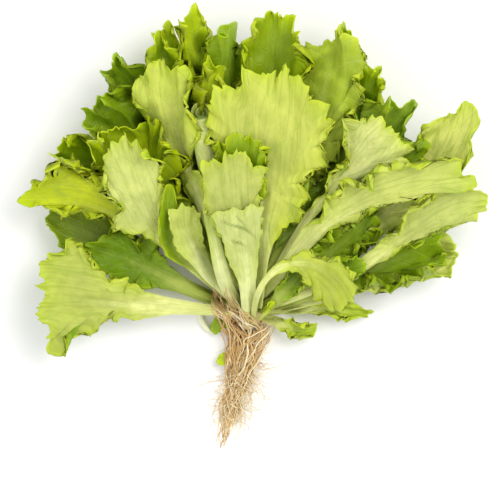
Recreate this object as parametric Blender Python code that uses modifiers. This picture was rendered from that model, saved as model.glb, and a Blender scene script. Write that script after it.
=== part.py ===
"""A whole head of loose-leaf lettuce with its roots, laid on its side on a flat surface.

The leaves fan out towards +Y from a short crown and the roots run towards -Y. The head is laid down leaf by
leaf, lowest first: each leaf rests on whatever already lies under it, so no two leaves ever pass through
each other, whatever their sizes. The origin is at the middle of the bottom of the head's box.
"""

import math
from collections import namedtuple

import bmesh
import bpy
import numpy as np

MM = 0.001

# Driving dimensions, in millimetres.
REACH = 200.0  # from the crown to the farthest leaf tip, along Y
SPAN = 300.0  # across the fan of leaves, along X
LOFT = 100.0  # over which the leaf tips rise from the surface, before the leaves are piled
BLADE_THICKNESS = 0.8
STALK_THICKNESS = 2.2
CROWN_WIDTH = 18.0
CROWN_LENGTH = 22.0
CROWN_HEIGHT = 16.0
ROOT_LENGTH = 76.0
ROOT_THICKNESS = 2.2
ROOT_TIP_THICKNESS = 0.9
SIDE_STEM_THICKNESS = 4.0
ROLL_THICKNESS = 16.0
LEAF_GAP = 0.6  # the least height left between a leaf and what it lies on
JOIN_GAP = 0.5  # between a root and the crown

# The leaf table below is drawn for a head of this reach, span and loft, and is stretched to the ones above.
DRAWN_REACH = 200.0
DRAWN_SPAN = 300.0
DRAWN_LOFT = 50.0

ROOT_COUNT = 8
ROOT_ROW = 0.93  # share of the crown's width over which the roots leave it
ROOT_END = (-18.0, 1.9)  # where the tuft ends in X, and the spacing of its tips
ROOT_BEND = 1.7  # above 1, the tuft hangs straight at first and bends towards its end
ROOT_WAVE = 1.5  # how far the tuft swings from side to side
ROOT_STAGGER = 0.06  # share of the length by which some strands end sooner than others
ROOT_LANDS = 0.4  # share of the length at which the strands reach the surface
ROOT_POINTS = 12
TUBE_SIDES = 1  # bevel resolution, which makes a six-sided tube

ROWS = 8  # cells along a leaf
COLUMNS = 6  # cells across a leaf
CELL = 1.5  # side of a cell of the height map that the leaves are laid on
SAMPLES = 6  # points along each side of a leaf's triangle when it is laid
STEEPEST = 0.3  # smallest upward part of a normal that is used to work out a leaf's height over the map
STATIONS = np.array([0.0, 1 / 3, 2 / 3, 1.0])  # shares of a leaf's length at which it is described
ROUND_FROM = 0.75  # share of a leaf's length past which its outline draws in
ROUND_LOSS = 0.4  # share of its width lost by the tip
BLADE_FROM, BLADE_FULL = 0.2, 0.7  # shares of a leaf's length between which the stalk widens to the blade
STALK_ENDS = 0.45  # share of a leaf's length at which its stalk has thinned to the blade
PILE_MARGIN = 1.3  # size of the height map, over the head's own
LIFT_SPREADS = 3  # times that a leaf's lift is spread to its neighbours
PATH_SPREAD = 9  # points across a round path when it is laid
ROOT_SWINGS = 5.0  # radians of the tuft's swing over its length
ROOT_TAPER = 0.7  # below 1, a strand thins sooner
STEM_POINTS = 8
ROLL_POINTS = 10
CROWN_SEGMENTS, CROWN_RINGS = 16, 8
LEAF_ROUGHNESS, ROOT_ROUGHNESS, CROWN_ROUGHNESS = 0.5, 0.8, 0.6

PALE, VIVID, DARK, WHITE, YELLOW = "pale", "vivid", "dark", "white", "yellow"
LEAF_COLOURS = {
    PALE: (0.62, 0.70, 0.26),
    VIVID: (0.27, 0.42, 0.02),
    DARK: (0.12, 0.22, 0.02),
    WHITE: (0.74, 0.76, 0.46),
    YELLOW: (0.55, 0.58, 0.08),
}
ROOT_COLOUR = (0.56, 0.36, 0.17)
CROWN_COLOUR = (0.66, 0.56, 0.36)

# A leaf is a spine of four points in plan (mm, from the crown), its height at those points, its half-widths
# to the left and to the right of the spine, how far the middle of its outer edge stands beyond the edge's ends,
# and how far its left and right edges stand above the spine. A blunt leaf keeps that share of the width that
# the others lose towards the tip.
Leaf = namedtuple("Leaf", "name tone spine arch left right bulge cup blunt", defaults=(0.0,))

LEAVES = [
    # The small leaves beside the crown, on the surface.
    Leaf("dark_leaf_by_roots", DARK, [(-15, 4), (-17, -3), (-20, -9), (-22, -14)], (4, 4, 3, 2),
         (2, 4, 5, 5), (2, 4, 5, 5), 3, (1, 1)),
    Leaf("low_right_leaf_curl", PALE, [(13, -3), (22, -7), (33, -10), (45, -9)], (4, 5, 5, 6),
         (2, 4, 5, 6), (2, 4, 6, 6), 3, (4, 3)),
    Leaf("low_right_leaf_tip", PALE, [(18, 1), (40, 3), (60, 2), (81, 0)], (5, 6, 5, 4),
         (2, 3, 4, 6), (2, 3, 4, 6), 3, (2, 2)),
    # The leaves that lie lowest and make the rim of the fan.
    Leaf("left_leaf_olive", DARK, [(-22, 3), (-64, 30), (-99, 49), (-134, 64)], (5, 6, 6, 8),
         (2, 8, 16, 16), (2, 8, 16, 16), 8, (5, 3)),
    Leaf("rim_leaf_far_left", VIVID, [(-20, 10), (-57, 56), (-93, 91), (-124, 109)], (5, 6, 8, 18),
         (2, 7, 13, 15), (2, 7, 13, 14), 6, (6, 2)),
    Leaf("rim_leaf_yellow", YELLOW, [(-7, 19), (-21, 81), (-38, 140), (-56, 184)], (5, 6, 8, 20),
         (2, 7, 12, 13), (2, 7, 12, 13), 6, (4, 4)),
    Leaf("rim_leaf_flared", YELLOW, [(-4, 20), (-16, 81), (-28, 140), (-37, 193)], (5, 6, 10, 28),
         (2, 7, 11, 17), (2, 7, 11, 16), 1, (5, 5)),
    Leaf("rim_leaf_right_small", VIVID, [(4, 20), (27, 75), (48, 133), (64, 183)], (5, 6, 10, 22),
         (2, 6, 10, 10), (2, 6, 10, 10), 5, (3, 3)),
    Leaf("rim_leaf_right", VIVID, [(9, 18), (34, 72), (63, 120), (86, 160)], (5, 6, 10, 22),
         (2, 7, 13, 14), (2, 7, 13, 14), 5, (5, 3)),
    Leaf("rim_leaf_left_high", DARK, [(-13, 15), (-38, 81), (-60, 127), (-90, 165)], (5, 7, 10, 22),
         (2, 9, 16, 18), (2, 9, 16, 18), 8, (6, 4)),
    Leaf("rim_leaf_left", DARK, [(-16, 12), (-46, 73), (-74, 114), (-102, 138)], (5, 7, 10, 22),
         (2, 9, 20, 23), (2, 9, 18, 21), 8, (8, 4)),
    Leaf("rim_leaf_striped", VIVID, [(-10, 17), (-28, 81), (-45, 133), (-57, 176)], (5, 7, 10, 20),
         (2, 8, 16, 20), (2, 8, 16, 19), 8, (5, 4)),
    Leaf("top_leaf_olive", DARK, [(0, 20), (-7, 75), (-12, 133), (-14, 186)], (5, 7, 8, 16),
         (2, 8, 13, 18), (2, 8, 13, 18), 3, (3, 3)),
    Leaf("right_leaf_frilled", DARK, [(13, 15), (42, 58), (74, 98), (102, 138)], (5, 7, 10, 20),
         (2, 8, 20, 32), (2, 8, 18, 24), 8, (5, 5)),
    Leaf("right_leaf_far", PALE, [(16, 11), (63, 49), (109, 82), (137, 135)], (5, 8, 14, 30),
         (2, 7, 13, 24), (2, 7, 15, 19), 3, (3, 8)),
    Leaf("low_right_leaf_pale", PALE, [(19, 5), (60, 15), (99, 31), (138, 42)], (5, 6, 8, 14),
         (2, 5, 13, 20), (2, 5, 10, 21), 4, (4, 4)),
    # The middle layers.
    Leaf("top_leaf_blistered", PALE, [(7, 19), (26, 75), (46, 133), (54, 184)], (7, 12, 20, 24),
         (2, 9, 22, 21), (2, 9, 23, 23), 8, (-4, -6), 0.4),
    Leaf("top_leaf_folded", VIVID, [(2, 20), (7, 75), (13, 133), (16, 195)], (7, 12, 16, 26),
         (2, 9, 19, 22), (2, 9, 20, 25), 6, (4, 5), 0.4),
    Leaf("left_leaf_glossy", DARK, [(-27, 10), (-54, 24), (-78, 35), (-105, 47)], (7, 8, 8, 10),
         (2, 8, 17, 19), (2, 8, 18, 19), 5, (5, 4)),
    Leaf("left_leaf_fan", PALE, [(-27, 6), (-64, 5), (-99, 8), (-136, 11)], (7, 12, 18, 22),
         (2, 7, 14, 46), (2, 9, 21, 54), 6, (-6, -5), 0.4),
    Leaf("low_right_leaf_inner", DARK, [(20, 4), (57, 19), (89, 33), (125, 50)], (7, 8, 9, 16),
         (2, 5, 7, 12), (2, 5, 14, 24), 4, (2, 5)),
    Leaf("top_leaf_curl", YELLOW, [(-3, 20), (-14, 75), (-21, 127), (-25, 162)], (7, 10, 14, 22),
         (2, 6, 10, 11), (2, 6, 10, 11), 4, (3, 3)),
    Leaf("left_leaf_tall", PALE, [(-8, 18), (-27, 65), (-44, 114), (-54, 163)], (7, 13, 20, 22),
         (2, 4, 14, 28), (2, 4, 8, 21), 4, (-4, 3), 0.4),
    Leaf("inner_leaf_frilled", DARK, [(11, 17), (24, 42), (39, 65), (58, 92)], (7, 9, 11, 16),
         (2, 7, 12, 15), (2, 7, 12, 15), 5, (4, 4)),
    Leaf("right_leaf_shaded", DARK, [(15, 13), (47, 52), (83, 88), (118, 108)], (7, 9, 11, 16),
         (2, 7, 13, 12), (2, 7, 13, 12), 4, (4, 4)),
    Leaf("right_leaf_toothed", PALE, [(13, 15), (36, 58), (64, 93), (91, 122)], (7, 14, 24, 28),
         (2, 3, 5, 38), (2, 3, 10, 44), 2, (3, -4)),
    Leaf("right_leaf_middle", DARK, [(17, 10), (42, 30), (63, 48), (84, 65)], (7, 9, 11, 13),
         (2, 7, 12, 12), (2, 7, 12, 12), 4, (3, 3)),
    Leaf("right_leaf_broad", PALE, [(18, 8), (73, 30), (115, 56), (155, 72)], (7, 13, 20, 24),
         (2, 5, 15, 21), (2, 3, 4, 14), 2, (6, -4)),
    Leaf("right_leaf_long", PALE, [(14, 12), (40, 47), (78, 72), (144, 87)], (7, 14, 22, 26),
         (2, 9, 19, 19), (2, 3, 5, 6), 2, (4, -3), 0.5),
    Leaf("left_leaf_cup", VIVID, [(-19, 18), (-46, 58), (-70, 94), (-84, 122)], (7, 11, 16, 28),
         (2, 11, 26, 32), (2, 11, 24, 33), 5, (8, 6)),
    Leaf("left_leaf_long", VIVID, [(-25, 14), (-60, 49), (-99, 69), (-143, 72)], (7, 11, 14, 16),
         (2, 2, 3, 7), (2, 6, 22, 27), 3, (1, 6)),
    Leaf("left_leaf_front", PALE, [(-22, 16), (-49, 46), (-65, 75), (-77, 111)], (7, 16, 26, 32),
         (2, 4, 27, 20), (2, 3, 11, 19), 2, (-5, 2), 0.6),
    Leaf("left_leaf_side_fold", VIVID, [(-20, 18), (-40, 35), (-50, 49), (-51, 85)], (7, 14, 20, 24),
         (2, 4, 7, 6), (2, 4, 8, 8), 3, (3, 4)),
    Leaf("low_right_leaf_small", DARK, [(20, 9), (40, 22), (57, 28), (75, 34)], (7, 8, 9, 11),
         (2, 4, 8, 10), (2, 4, 8, 10), 3, (3, 2)),
    Leaf("low_right_leaf_pocket", DARK, [(14, 2), (20, 11), (28, 20), (38, 32)], (6, 7, 8, 9),
         (2, 4, 7, 7), (2, 4, 7, 7), 2, (2, 2)),
    Leaf("yellow_shoot", YELLOW, [(8, -3), (11, 1), (14, 5), (17, 9)], (5, 6, 7, 8),
         (1, 1.6, 2, 2), (1, 1.6, 2, 2), 1, (1, 1)),
    Leaf("leaflet_in_roots", YELLOW, [(-8, -24), (-12, -27), (-16, -30), (-21, -33)], (3, 3, 3, 3),
         (1, 1.2, 3.5, 4), (1, 1.2, 3.5, 4), 1, (1, 1)),
    # The front leaves, on top of the pile.
    Leaf("left_leaf_stub", WHITE, [(-16, 10), (-30, 34), (-38, 52), (-39, 70)], (7, 12, 15, 17),
         (2, 6, 11, 13), (2, 5, 8, 11), 2, (1, 1), 0.8),
    Leaf("front_leaf_stalk", WHITE, [(-9, 6), (-17, 29), (-22, 52), (-26, 75)], (7, 12, 14, 15),
         (4, 5, 4, 6), (4, 5, 4, 6), 1, (-1, -1)),
    Leaf("front_leaf_big", PALE, [(6, 4), (8, 46), (11, 94), (16, 157)], (7, 18, 28, 32),
         (3, 6, 13, 50), (3, 7, 24, 46), 24, (-4, -6), 0.8),
    Leaf("front_leaf_pocket", VIVID, [(0, 4), (-2, 42), (-4, 80), (-5, 115)], (7, 12, 16, 22),
         (3, 6, 13, 18), (3, 6, 13, 18), 2, (3, 3), 0.9),
    Leaf("front_leaf_lobe", PALE, [(-1, 0), (-2, 34), (-6, 67), (-8, 103)], (7, 14, 20, 26),
         (3, 6, 18, 26), (3, 6, 12, 20), 3, (-3, -3), 0.8),
    Leaf("front_leaf_cropped", WHITE, [(0, -6), (0, 20), (-2, 42), (-5, 70)], (7, 12, 15, 18),
         (4, 6, 12, 17), (4, 5, 9, 15), 2, (-1, -1), 1.0),
    Leaf("arching_leaf", PALE, [(4, -6), (14, 26), (40, 33), (66, 9)], (7, 20, 26, 12),
         (2, 2, 7, 12), (2, 2, 10, 21), 3, (-2, -2), 0.7),
]

# A rolled leaf and a bare side stem are round, so each is a path (x, y, height) with its share of full radius.
ROLLED_LEAF = [(-14, 40, 5, 0.35), (-19, 70, 7, 0.6), (-25, 102, 11, 1.0), (-31, 133, 16, 1.0)]
ROLLED_LEAF_UNDER = "left_leaf_tall"
SIDE_STEM = [(-30, 8, 3, 1.0), (-32, 0, 3, 1.0), (-29, -8, 3, 0.9), (-22, -13, 3, 0.6)]


def clear_scene():
    for item in list(bpy.data.objects):
        bpy.data.objects.remove(item)


def new_collection(name):
    collection = bpy.data.collections.new(name)
    bpy.context.scene.collection.children.link(collection)
    return collection


def new_material(name, colour, roughness):
    material = bpy.data.materials.new(name)
    material.use_nodes = True
    shader = material.node_tree.nodes["Principled BSDF"]
    shader.inputs["Base Color"].default_value = (*colour, 1.0)
    shader.inputs["Roughness"].default_value = roughness
    shader.inputs["Metallic"].default_value = 0.0
    return material


def stretched(points):
    """Table points (x, y, ...) stretched from the drawn head to this one."""
    made = np.array(points, float)
    made[:, 0] *= SPAN / DRAWN_SPAN
    made[:, 1] *= REACH / DRAWN_REACH
    return made


def curve_through(values, shares):
    """The one cubic curve through four values at the stations, read at some shares of the length."""
    values = np.array(values, float)
    made = 0.0
    for i, station in enumerate(STATIONS):
        others = np.delete(STATIONS, i)
        weight = np.prod([(shares - other) / (station - other) for other in others], axis=0)
        made = made + np.multiply.outer(weight, values[i])
    return made


def width_through(values, shares):
    """Widths between the stations, on a curve that never swings past the values it joins."""
    values = np.array(values, float)
    steps = np.diff(values) / np.diff(STATIONS)
    slopes = np.zeros(len(values))
    slopes[0], slopes[-1] = steps[0], steps[-1]
    for i in range(1, len(values) - 1):
        if steps[i - 1] * steps[i] > 0:
            slopes[i] = 2 * steps[i - 1] * steps[i] / (steps[i - 1] + steps[i])
    span = np.clip(np.searchsorted(STATIONS, shares, side="right") - 1, 0, len(steps) - 1)
    length = np.diff(STATIONS)[span]
    t = (shares - STATIONS[span]) / length
    near = values[span] * (1 + 2 * t) * (1 - t) ** 2 + slopes[span] * length * t * (1 - t) ** 2
    far = values[span + 1] * t * t * (3 - 2 * t) + slopes[span + 1] * length * t * t * (t - 1)
    return near + far


def blade_share(shares):
    """How much of the full blade there is along a leaf: none on the stalk, all from two thirds on."""
    t = np.clip((shares - BLADE_FROM) / (BLADE_FULL - BLADE_FROM), 0, 1)
    return t * t * (3 - 2 * t)


def leaf_surface(leaf, rows, columns):
    """Points of a leaf's middle surface, as an array of rows + 1 by columns + 1 by 3, before it is laid."""
    along = np.linspace(0, 1, rows + 1)
    across = np.linspace(-1, 1, columns + 1)
    spine = curve_through(stretched(leaf.spine), along)
    heights = curve_through(np.multiply(leaf.arch, LOFT / DRAWN_LOFT), along)
    headings = np.gradient(spine, axis=0)
    headings /= np.linalg.norm(headings, axis=1)[:, None]
    rightward = np.stack([headings[:, 1], -headings[:, 0]], axis=1)
    scale = (SPAN / DRAWN_SPAN + REACH / DRAWN_REACH) / 2
    past = np.clip((along - ROUND_FROM) / (1 - ROUND_FROM), 0, 1)
    rounding = 1 - ROUND_LOSS * (1 - leaf.blunt) * past ** 2
    left = width_through(leaf.left, along) * scale * rounding
    right = width_through(leaf.right, along) * scale * rounding
    share = blade_share(along)
    points = np.zeros((rows + 1, columns + 1, 3))
    for j, t in enumerate(across):
        sideways = t * (right if t > 0 else left)
        back = leaf.bulge * share * t * t
        points[:, j, :2] = spine + rightward * sideways[:, None] - headings * back[:, None]
        rim = leaf.cup[1 if t > 0 else 0] * LOFT / DRAWN_LOFT
        points[:, j, 2] = heights + rim * share * t * t
    return points


def stalk_weight(rows):
    """Share of the stalk's thickness at each row: whole at the foot, the blade's thickness from a third on."""
    along = np.linspace(0, 1, rows + 1)
    t = np.clip(along / STALK_ENDS, 0, 1)
    thin = BLADE_THICKNESS / STALK_THICKNESS
    return 1 - (1 - thin) * t * t * (3 - 2 * t)


class Pile:
    """The height of everything laid so far, on a square grid of cells around the crown."""

    def __init__(self):
        half = max(REACH, SPAN, ROOT_LENGTH) * PILE_MARGIN
        self.origin = -half
        self.count = int(2 * half / CELL)
        self.top = np.zeros((self.count, self.count))

    def cells(self, points):
        found = ((points[:, :2] - self.origin) / CELL).astype(int)
        return np.clip(found, 1, self.count - 2).T

    def under(self, points):
        i, j = self.cells(points)
        return self.top[i, j]

    def add(self, points, tops):
        i, j = self.cells(points)
        for di in (-1, 0, 1):
            for dj in (-1, 0, 1):
                np.maximum.at(self.top, (i + di, j + dj), tops)


def smoothed_upward(lift):
    """Spreads a lift over its neighbours without lowering it anywhere."""
    for _ in range(LIFT_SPREADS):
        padded = np.pad(lift, 1, mode="edge")
        mean = (padded[:-2, 1:-1] + padded[2:, 1:-1] + padded[1:-1, :-2] + padded[1:-1, 2:]) / 4
        lift = np.maximum(lift, mean)
    return lift


def triangle_samples():
    """Barycentric weights of evenly spread points in a triangle, edges included."""
    made = []
    for i in range(SAMPLES + 1):
        for j in range(SAMPLES + 1 - i):
            made.append((i / SAMPLES, j / SAMPLES, 1 - (i + j) / SAMPLES))
    return np.array(made)


def lay_leaf(pile, points, triangles, weights):
    """Lifts a leaf's points until the leaf rests on the pile, and adds the leaf to the pile."""
    flat = points.reshape(-1, 3)
    half = np.repeat(weights * STALK_THICKNESS / 2, points.shape[1])
    shares = triangle_samples()
    corners = flat[triangles]
    normal = np.cross(corners[:, 1] - corners[:, 0], corners[:, 2] - corners[:, 0])
    upward = np.abs(normal[:, 2]) / np.linalg.norm(normal, axis=1)
    reach = half[triangles].max(axis=1) / np.clip(upward, STEEPEST, 1)
    dense = np.einsum("sk,tkc->tsc", shares, corners)
    room = pile.under(dense.reshape(-1, 3)).reshape(dense.shape[:2])
    lack = (room + LEAF_GAP + reach[:, None] - dense[:, :, 2]).max(axis=1)
    lift = np.zeros(len(flat))
    for corner in range(3):
        np.maximum.at(lift, triangles[:, corner], lack)
    lift = smoothed_upward(lift.reshape(points.shape[:2])).ravel()
    flat = flat + np.stack([0 * lift, 0 * lift, lift], axis=1)
    corners = flat[triangles]
    dense = np.einsum("sk,tkc->tsc", shares, corners)
    tops = dense[:, :, 2] + reach[:, None]
    pile.add(dense.reshape(-1, 3), tops.ravel())
    return flat


def add_leaf(leaf, pile, collection, material):
    """A leaf as one sheet with its stalk, thick at the foot, laid on the pile."""
    mesh = bpy.data.meshes.new(leaf.name)
    shape = bmesh.new()
    bmesh.ops.create_grid(shape, x_segments=COLUMNS, y_segments=ROWS, size=1.0)
    shape.verts.ensure_lookup_table()
    order = sorted(range(len(shape.verts)), key=lambda v: (shape.verts[v].co.y, shape.verts[v].co.x))
    place = {v: k for k, v in enumerate(order)}
    bmesh.ops.triangulate(shape, faces=shape.faces[:], quad_method="FIXED")
    triangles = np.array([[place[v.index] for v in face.verts] for face in shape.faces])
    weights = stalk_weight(ROWS)
    points = lay_leaf(pile, leaf_surface(leaf, ROWS, COLUMNS), triangles, weights)
    for vert in shape.verts:
        vert.co = points[place[vert.index]] * MM
    bmesh.ops.recalc_face_normals(shape, faces=shape.faces[:])
    shape.to_mesh(mesh)
    shape.free()
    piece = bpy.data.objects.new(leaf.name, mesh)
    collection.objects.link(piece)
    mesh.materials.append(material)
    group = piece.vertex_groups.new(name="thickness")
    for v, k in place.items():
        group.add([v], float(weights[k // (COLUMNS + 1)]), "REPLACE")
    solid = piece.modifiers.new("sheet", "SOLIDIFY")
    solid.thickness = STALK_THICKNESS * MM
    solid.offset = 0.0
    solid.vertex_group = group.name
    mesh.shade_smooth()
    return piece


def lay_path(pile, path, radii):
    """Lifts a round path until it rests on the pile, as one stiff piece, and adds it to the pile."""
    heading = np.gradient(path[:, :2], axis=0)
    heading /= np.linalg.norm(heading, axis=1)[:, None]
    side = np.stack([heading[:, 1], -heading[:, 0]], axis=1)
    spots, low, high = [], [], []
    for share in np.linspace(-1, 1, PATH_SPREAD):
        rise = radii * math.sqrt(1 - share * share)
        spot = path.copy()
        spot[:, :2] += side * (radii * share)[:, None]
        spots.append(spot)
        low.append(path[:, 2] - rise)
        high.append(path[:, 2] + rise)
    spots, low, high = np.concatenate(spots), np.concatenate(low), np.concatenate(high)
    lift = (pile.under(spots) + LEAF_GAP - low).max()
    pile.add(spots, high + lift)
    path[:, 2] += lift
    return path


def add_tube(name, path, radii, collection, material):
    """A round solid along a path, with its own radius at each point and closed ends."""
    curve = bpy.data.curves.new(name, "CURVE")
    curve.dimensions = "3D"
    curve.bevel_depth = 1.0 * MM
    curve.bevel_resolution = TUBE_SIDES
    curve.use_fill_caps = True
    line = curve.splines.new("POLY")
    line.points.add(len(path) - 1)
    for point, place, radius in zip(line.points, path, radii):
        point.co = (*(place * MM), 1.0)
        point.radius = radius
    piece = bpy.data.objects.new(name, curve)
    collection.objects.link(piece)
    curve.materials.append(material)
    return piece


def round_path(table, thickness, count):
    """A smooth path and its radii from four table points (x, y, height, share of the full radius)."""
    drawn = stretched([row[:2] for row in table])
    full = np.column_stack([drawn, [row[2:] for row in table]])
    made = curve_through(full, np.linspace(0, 1, count))
    return made[:, :3], made[:, 3] * thickness / 2


def root_paths():
    """The root strands: side by side round the lower half of the crown, drawing in to one narrow tuft."""
    middle = CROWN_HEIGHT / 2
    share = np.linspace(0, 1, ROOT_POINTS)
    for k in range(ROOT_COUNT):
        side = ROOT_ROW * (2 * k / (ROOT_COUNT - 1) - 1)
        clear = JOIN_GAP + ROOT_THICKNESS / 2
        start_x = side * (CROWN_WIDTH / 2 + clear)
        start_y = -math.sqrt(1 - side * side) * (CROWN_LENGTH / 2 + clear)
        end_x = ROOT_END[0] + ROOT_END[1] * (k - (ROOT_COUNT - 1) / 2)
        end_y = -CROWN_LENGTH / 2 - ROOT_LENGTH * (1 - ROOT_STAGGER * (k % 3))
        y = start_y + (end_y - start_y) * share
        down = np.clip((-y - CROWN_LENGTH / 2) / ROOT_LENGTH, 0, 1)
        x = start_x + (end_x - start_x) * down ** ROOT_BEND + ROOT_WAVE * np.sin(ROOT_SWINGS * down)
        radii = ROOT_THICKNESS / 2 + (ROOT_TIP_THICKNESS - ROOT_THICKNESS) / 2 * down ** ROOT_TAPER
        sag = (1 - np.clip(down / ROOT_LANDS, 0, 1)) ** 2
        z = radii + (middle - radii) * sag
        yield np.column_stack([x, y, z]), radii


def add_crown(pile, collection, material):
    """The short stem, a rounded knob lying on its side."""
    mesh = bpy.data.meshes.new("crown")
    shape = bmesh.new()
    bmesh.ops.create_uvsphere(shape, u_segments=CROWN_SEGMENTS, v_segments=CROWN_RINGS, radius=0.5)
    for vert in shape.verts:
        vert.co.x *= CROWN_WIDTH * MM
        vert.co.y *= CROWN_LENGTH * MM
        vert.co.z = (vert.co.z + 0.5) * CROWN_HEIGHT * MM
    shape.to_mesh(mesh)
    shape.free()
    mesh.shade_smooth()
    mesh.materials.append(material)
    piece = bpy.data.objects.new("crown", mesh)
    collection.objects.link(piece)
    points = np.array([vert.co[:] for vert in mesh.vertices]) / MM
    inner = np.concatenate([points * (share, share, 1) for share in np.linspace(0.1, 1, CROWN_RINGS)])
    pile.add(inner, np.full(len(inner), CROWN_HEIGHT))


def move_to_origin(collection):
    """Moves every piece so that the origin is at the middle of the bottom of the head's box."""
    bpy.context.view_layer.update()
    graph = bpy.context.evaluated_depsgraph_get()
    corners = []
    for piece in collection.objects:
        shape = piece.evaluated_get(graph).to_mesh()
        corners.extend(vert.co[:] for vert in shape.vertices)
    low, high = np.min(corners, axis=0), np.max(corners, axis=0)
    shift = -np.array([(low[0] + high[0]) / 2, (low[1] + high[1]) / 2, low[2]])
    for piece in collection.objects:
        piece.location = shift


def main():
    clear_scene()
    head = new_collection("head_of_lettuce")
    tones = {}
    for tone, colour in LEAF_COLOURS.items():
        tones[tone] = new_material(tone + "_leaf", colour, LEAF_ROUGHNESS)
    root_material = new_material("root", ROOT_COLOUR, ROOT_ROUGHNESS)
    crown_material = new_material("crown", CROWN_COLOUR, CROWN_ROUGHNESS)
    pile = Pile()
    for k, (path, radii) in enumerate(root_paths()):
        add_tube(f"root_{k + 1}", path, radii, head, root_material)
        pile.add(path, path[:, 2] + radii)
    add_crown(pile, head, crown_material)
    stem, stem_radii = round_path(SIDE_STEM, SIDE_STEM_THICKNESS, STEM_POINTS)
    add_tube("side_stem", lay_path(pile, stem, stem_radii), stem_radii, head, tones[WHITE])
    for leaf in LEAVES:
        if leaf.name == ROLLED_LEAF_UNDER:
            path, radii = round_path(ROLLED_LEAF, ROLL_THICKNESS, ROLL_POINTS)
            add_tube("rolled_leaf", lay_path(pile, path, radii), radii, head, tones[PALE])
        add_leaf(leaf, pile, head, tones[leaf.tone])
    move_to_origin(head)


main()
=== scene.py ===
"""The looks of the head of lettuce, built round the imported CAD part.

Every leaf is made again as a fine sheet on the surface that its CAD node gives: its margin is cut into teeth
and ruffled, some stretches of it roll over, its stalk thickens into a rib, and its two sides have their own
colours. The pile is then pressed from the top down, so that a covered leaf gives way under the one on it.
Lengths are in millimetres, from the middle of the crown, and in metres only in the meshes.
"""

import math
from collections import namedtuple

import bpy
import numpy as np
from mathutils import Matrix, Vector


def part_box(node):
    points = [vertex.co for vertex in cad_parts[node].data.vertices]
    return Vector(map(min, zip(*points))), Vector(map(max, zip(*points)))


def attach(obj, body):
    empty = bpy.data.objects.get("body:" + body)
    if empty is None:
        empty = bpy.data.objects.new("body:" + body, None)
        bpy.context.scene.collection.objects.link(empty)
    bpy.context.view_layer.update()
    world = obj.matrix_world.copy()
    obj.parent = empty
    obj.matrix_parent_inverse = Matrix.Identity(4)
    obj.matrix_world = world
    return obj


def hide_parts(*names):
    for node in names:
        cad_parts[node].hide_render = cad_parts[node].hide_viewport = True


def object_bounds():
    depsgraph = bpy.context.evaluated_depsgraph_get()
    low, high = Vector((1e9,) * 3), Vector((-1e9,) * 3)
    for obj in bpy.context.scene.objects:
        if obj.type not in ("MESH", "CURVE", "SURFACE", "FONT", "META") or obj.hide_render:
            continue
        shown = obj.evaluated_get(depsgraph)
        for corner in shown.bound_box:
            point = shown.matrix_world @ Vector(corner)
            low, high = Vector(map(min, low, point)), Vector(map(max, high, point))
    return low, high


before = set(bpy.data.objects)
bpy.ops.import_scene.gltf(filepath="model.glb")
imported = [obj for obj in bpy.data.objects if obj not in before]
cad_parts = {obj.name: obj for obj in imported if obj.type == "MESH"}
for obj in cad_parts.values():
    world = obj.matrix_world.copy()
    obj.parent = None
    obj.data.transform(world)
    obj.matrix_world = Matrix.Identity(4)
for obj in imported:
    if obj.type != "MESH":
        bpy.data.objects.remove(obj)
CAD_LOW, CAD_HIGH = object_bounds()

MM = 0.001
TURN = 2 * math.pi

# The leaf table is drawn for a head of this width and length, and is stretched to the frame's own box.
DRAWN_SIZE = (298.6, 282.3)
STRETCH = np.array([CAD_HIGH.x - CAD_LOW.x, CAD_HIGH.y - CAD_LOW.y]) / MM / DRAWN_SIZE
CROWN_LOW, CROWN_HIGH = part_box("crown")
CROWN = np.array((CROWN_LOW + CROWN_HIGH) / 2) / MM
CROWN_SIZE = np.array(CROWN_HIGH - CROWN_LOW) / MM

SPACING = 1.05  # between a fine sheet's points
STATIONS = np.array([0.0, 1 / 3, 2 / 3, 1.0])  # shares of a leaf's length at which it is described
COARSE_ROWS, COARSE_COLUMNS = 8, 6  # cells of a leaf in the CAD part
LIFT_CELLS = 8  # cells that each of them is cut into where its lift is smoothed
BLADE = 0.6  # thickness of a blade
RIB = 2.4  # by which the stalk is thicker in its middle
FLOOR_GAP = 0.4  # under the lowest sheets
LOWEST = 0.02  # that any point may lie over the floor
PRESS_CELL = 1.2  # of the raster on which the pile is pressed
PRESS_GAP = 0.35  # kept between pressed sheets
PRESS_MARGIN = 20  # by which that raster is wider than the CAD box
LATTICE = 64  # cells after which the soft noise repeats
LEAST_ROWS, LEAST_COLUMNS = 24, 16  # of points on a small leaf
CORNER_CUT, BLUNT_KEEPS = 0.15, 0.8  # how far a tip's corners are rounded, and how much less if it is blunt
FOOT_REACH = 0.22  # share of a leaf that is drawn to the crown
FOOT_OUT, FOOT_UP = 0.42, 1.1  # the most that its foot stands out and up, in crown widths and heights
BLADE_FROM, BLADE_FULL = 0.28, 0.62  # shares of the length between which the stalk becomes blade
TINY = 1e-9

PALE, VIVID, DARK_AND_SHADED, WHITE, YELLOW = "pale", "vivid", "dark", "white", "yellow"

# As in the CAD part: four points along the spine, the height, and the half width to the left and to the
# right at each; how far the sides trail behind the spine; how far the rims stand up; how square the tip is.
Leaf = namedtuple("Leaf", "name tone spine arch left right bulge cup blunt", defaults=(0.0,))
LOFT = 2  # by which the heights of the table are multiplied
TIP_FROM, TIP_NARROWS = 0.75, 0.4  # where a leaf's tip starts, and by how much it narrows if not blunt
SAME = None  # half widths to the right that are those to the left


def full_row(name, tone, spine, arch, left, right, *rest):
    """A leaf from its row of the table."""
    return Leaf(name, tone, spine, arch, left, right or left, *rest)


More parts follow.
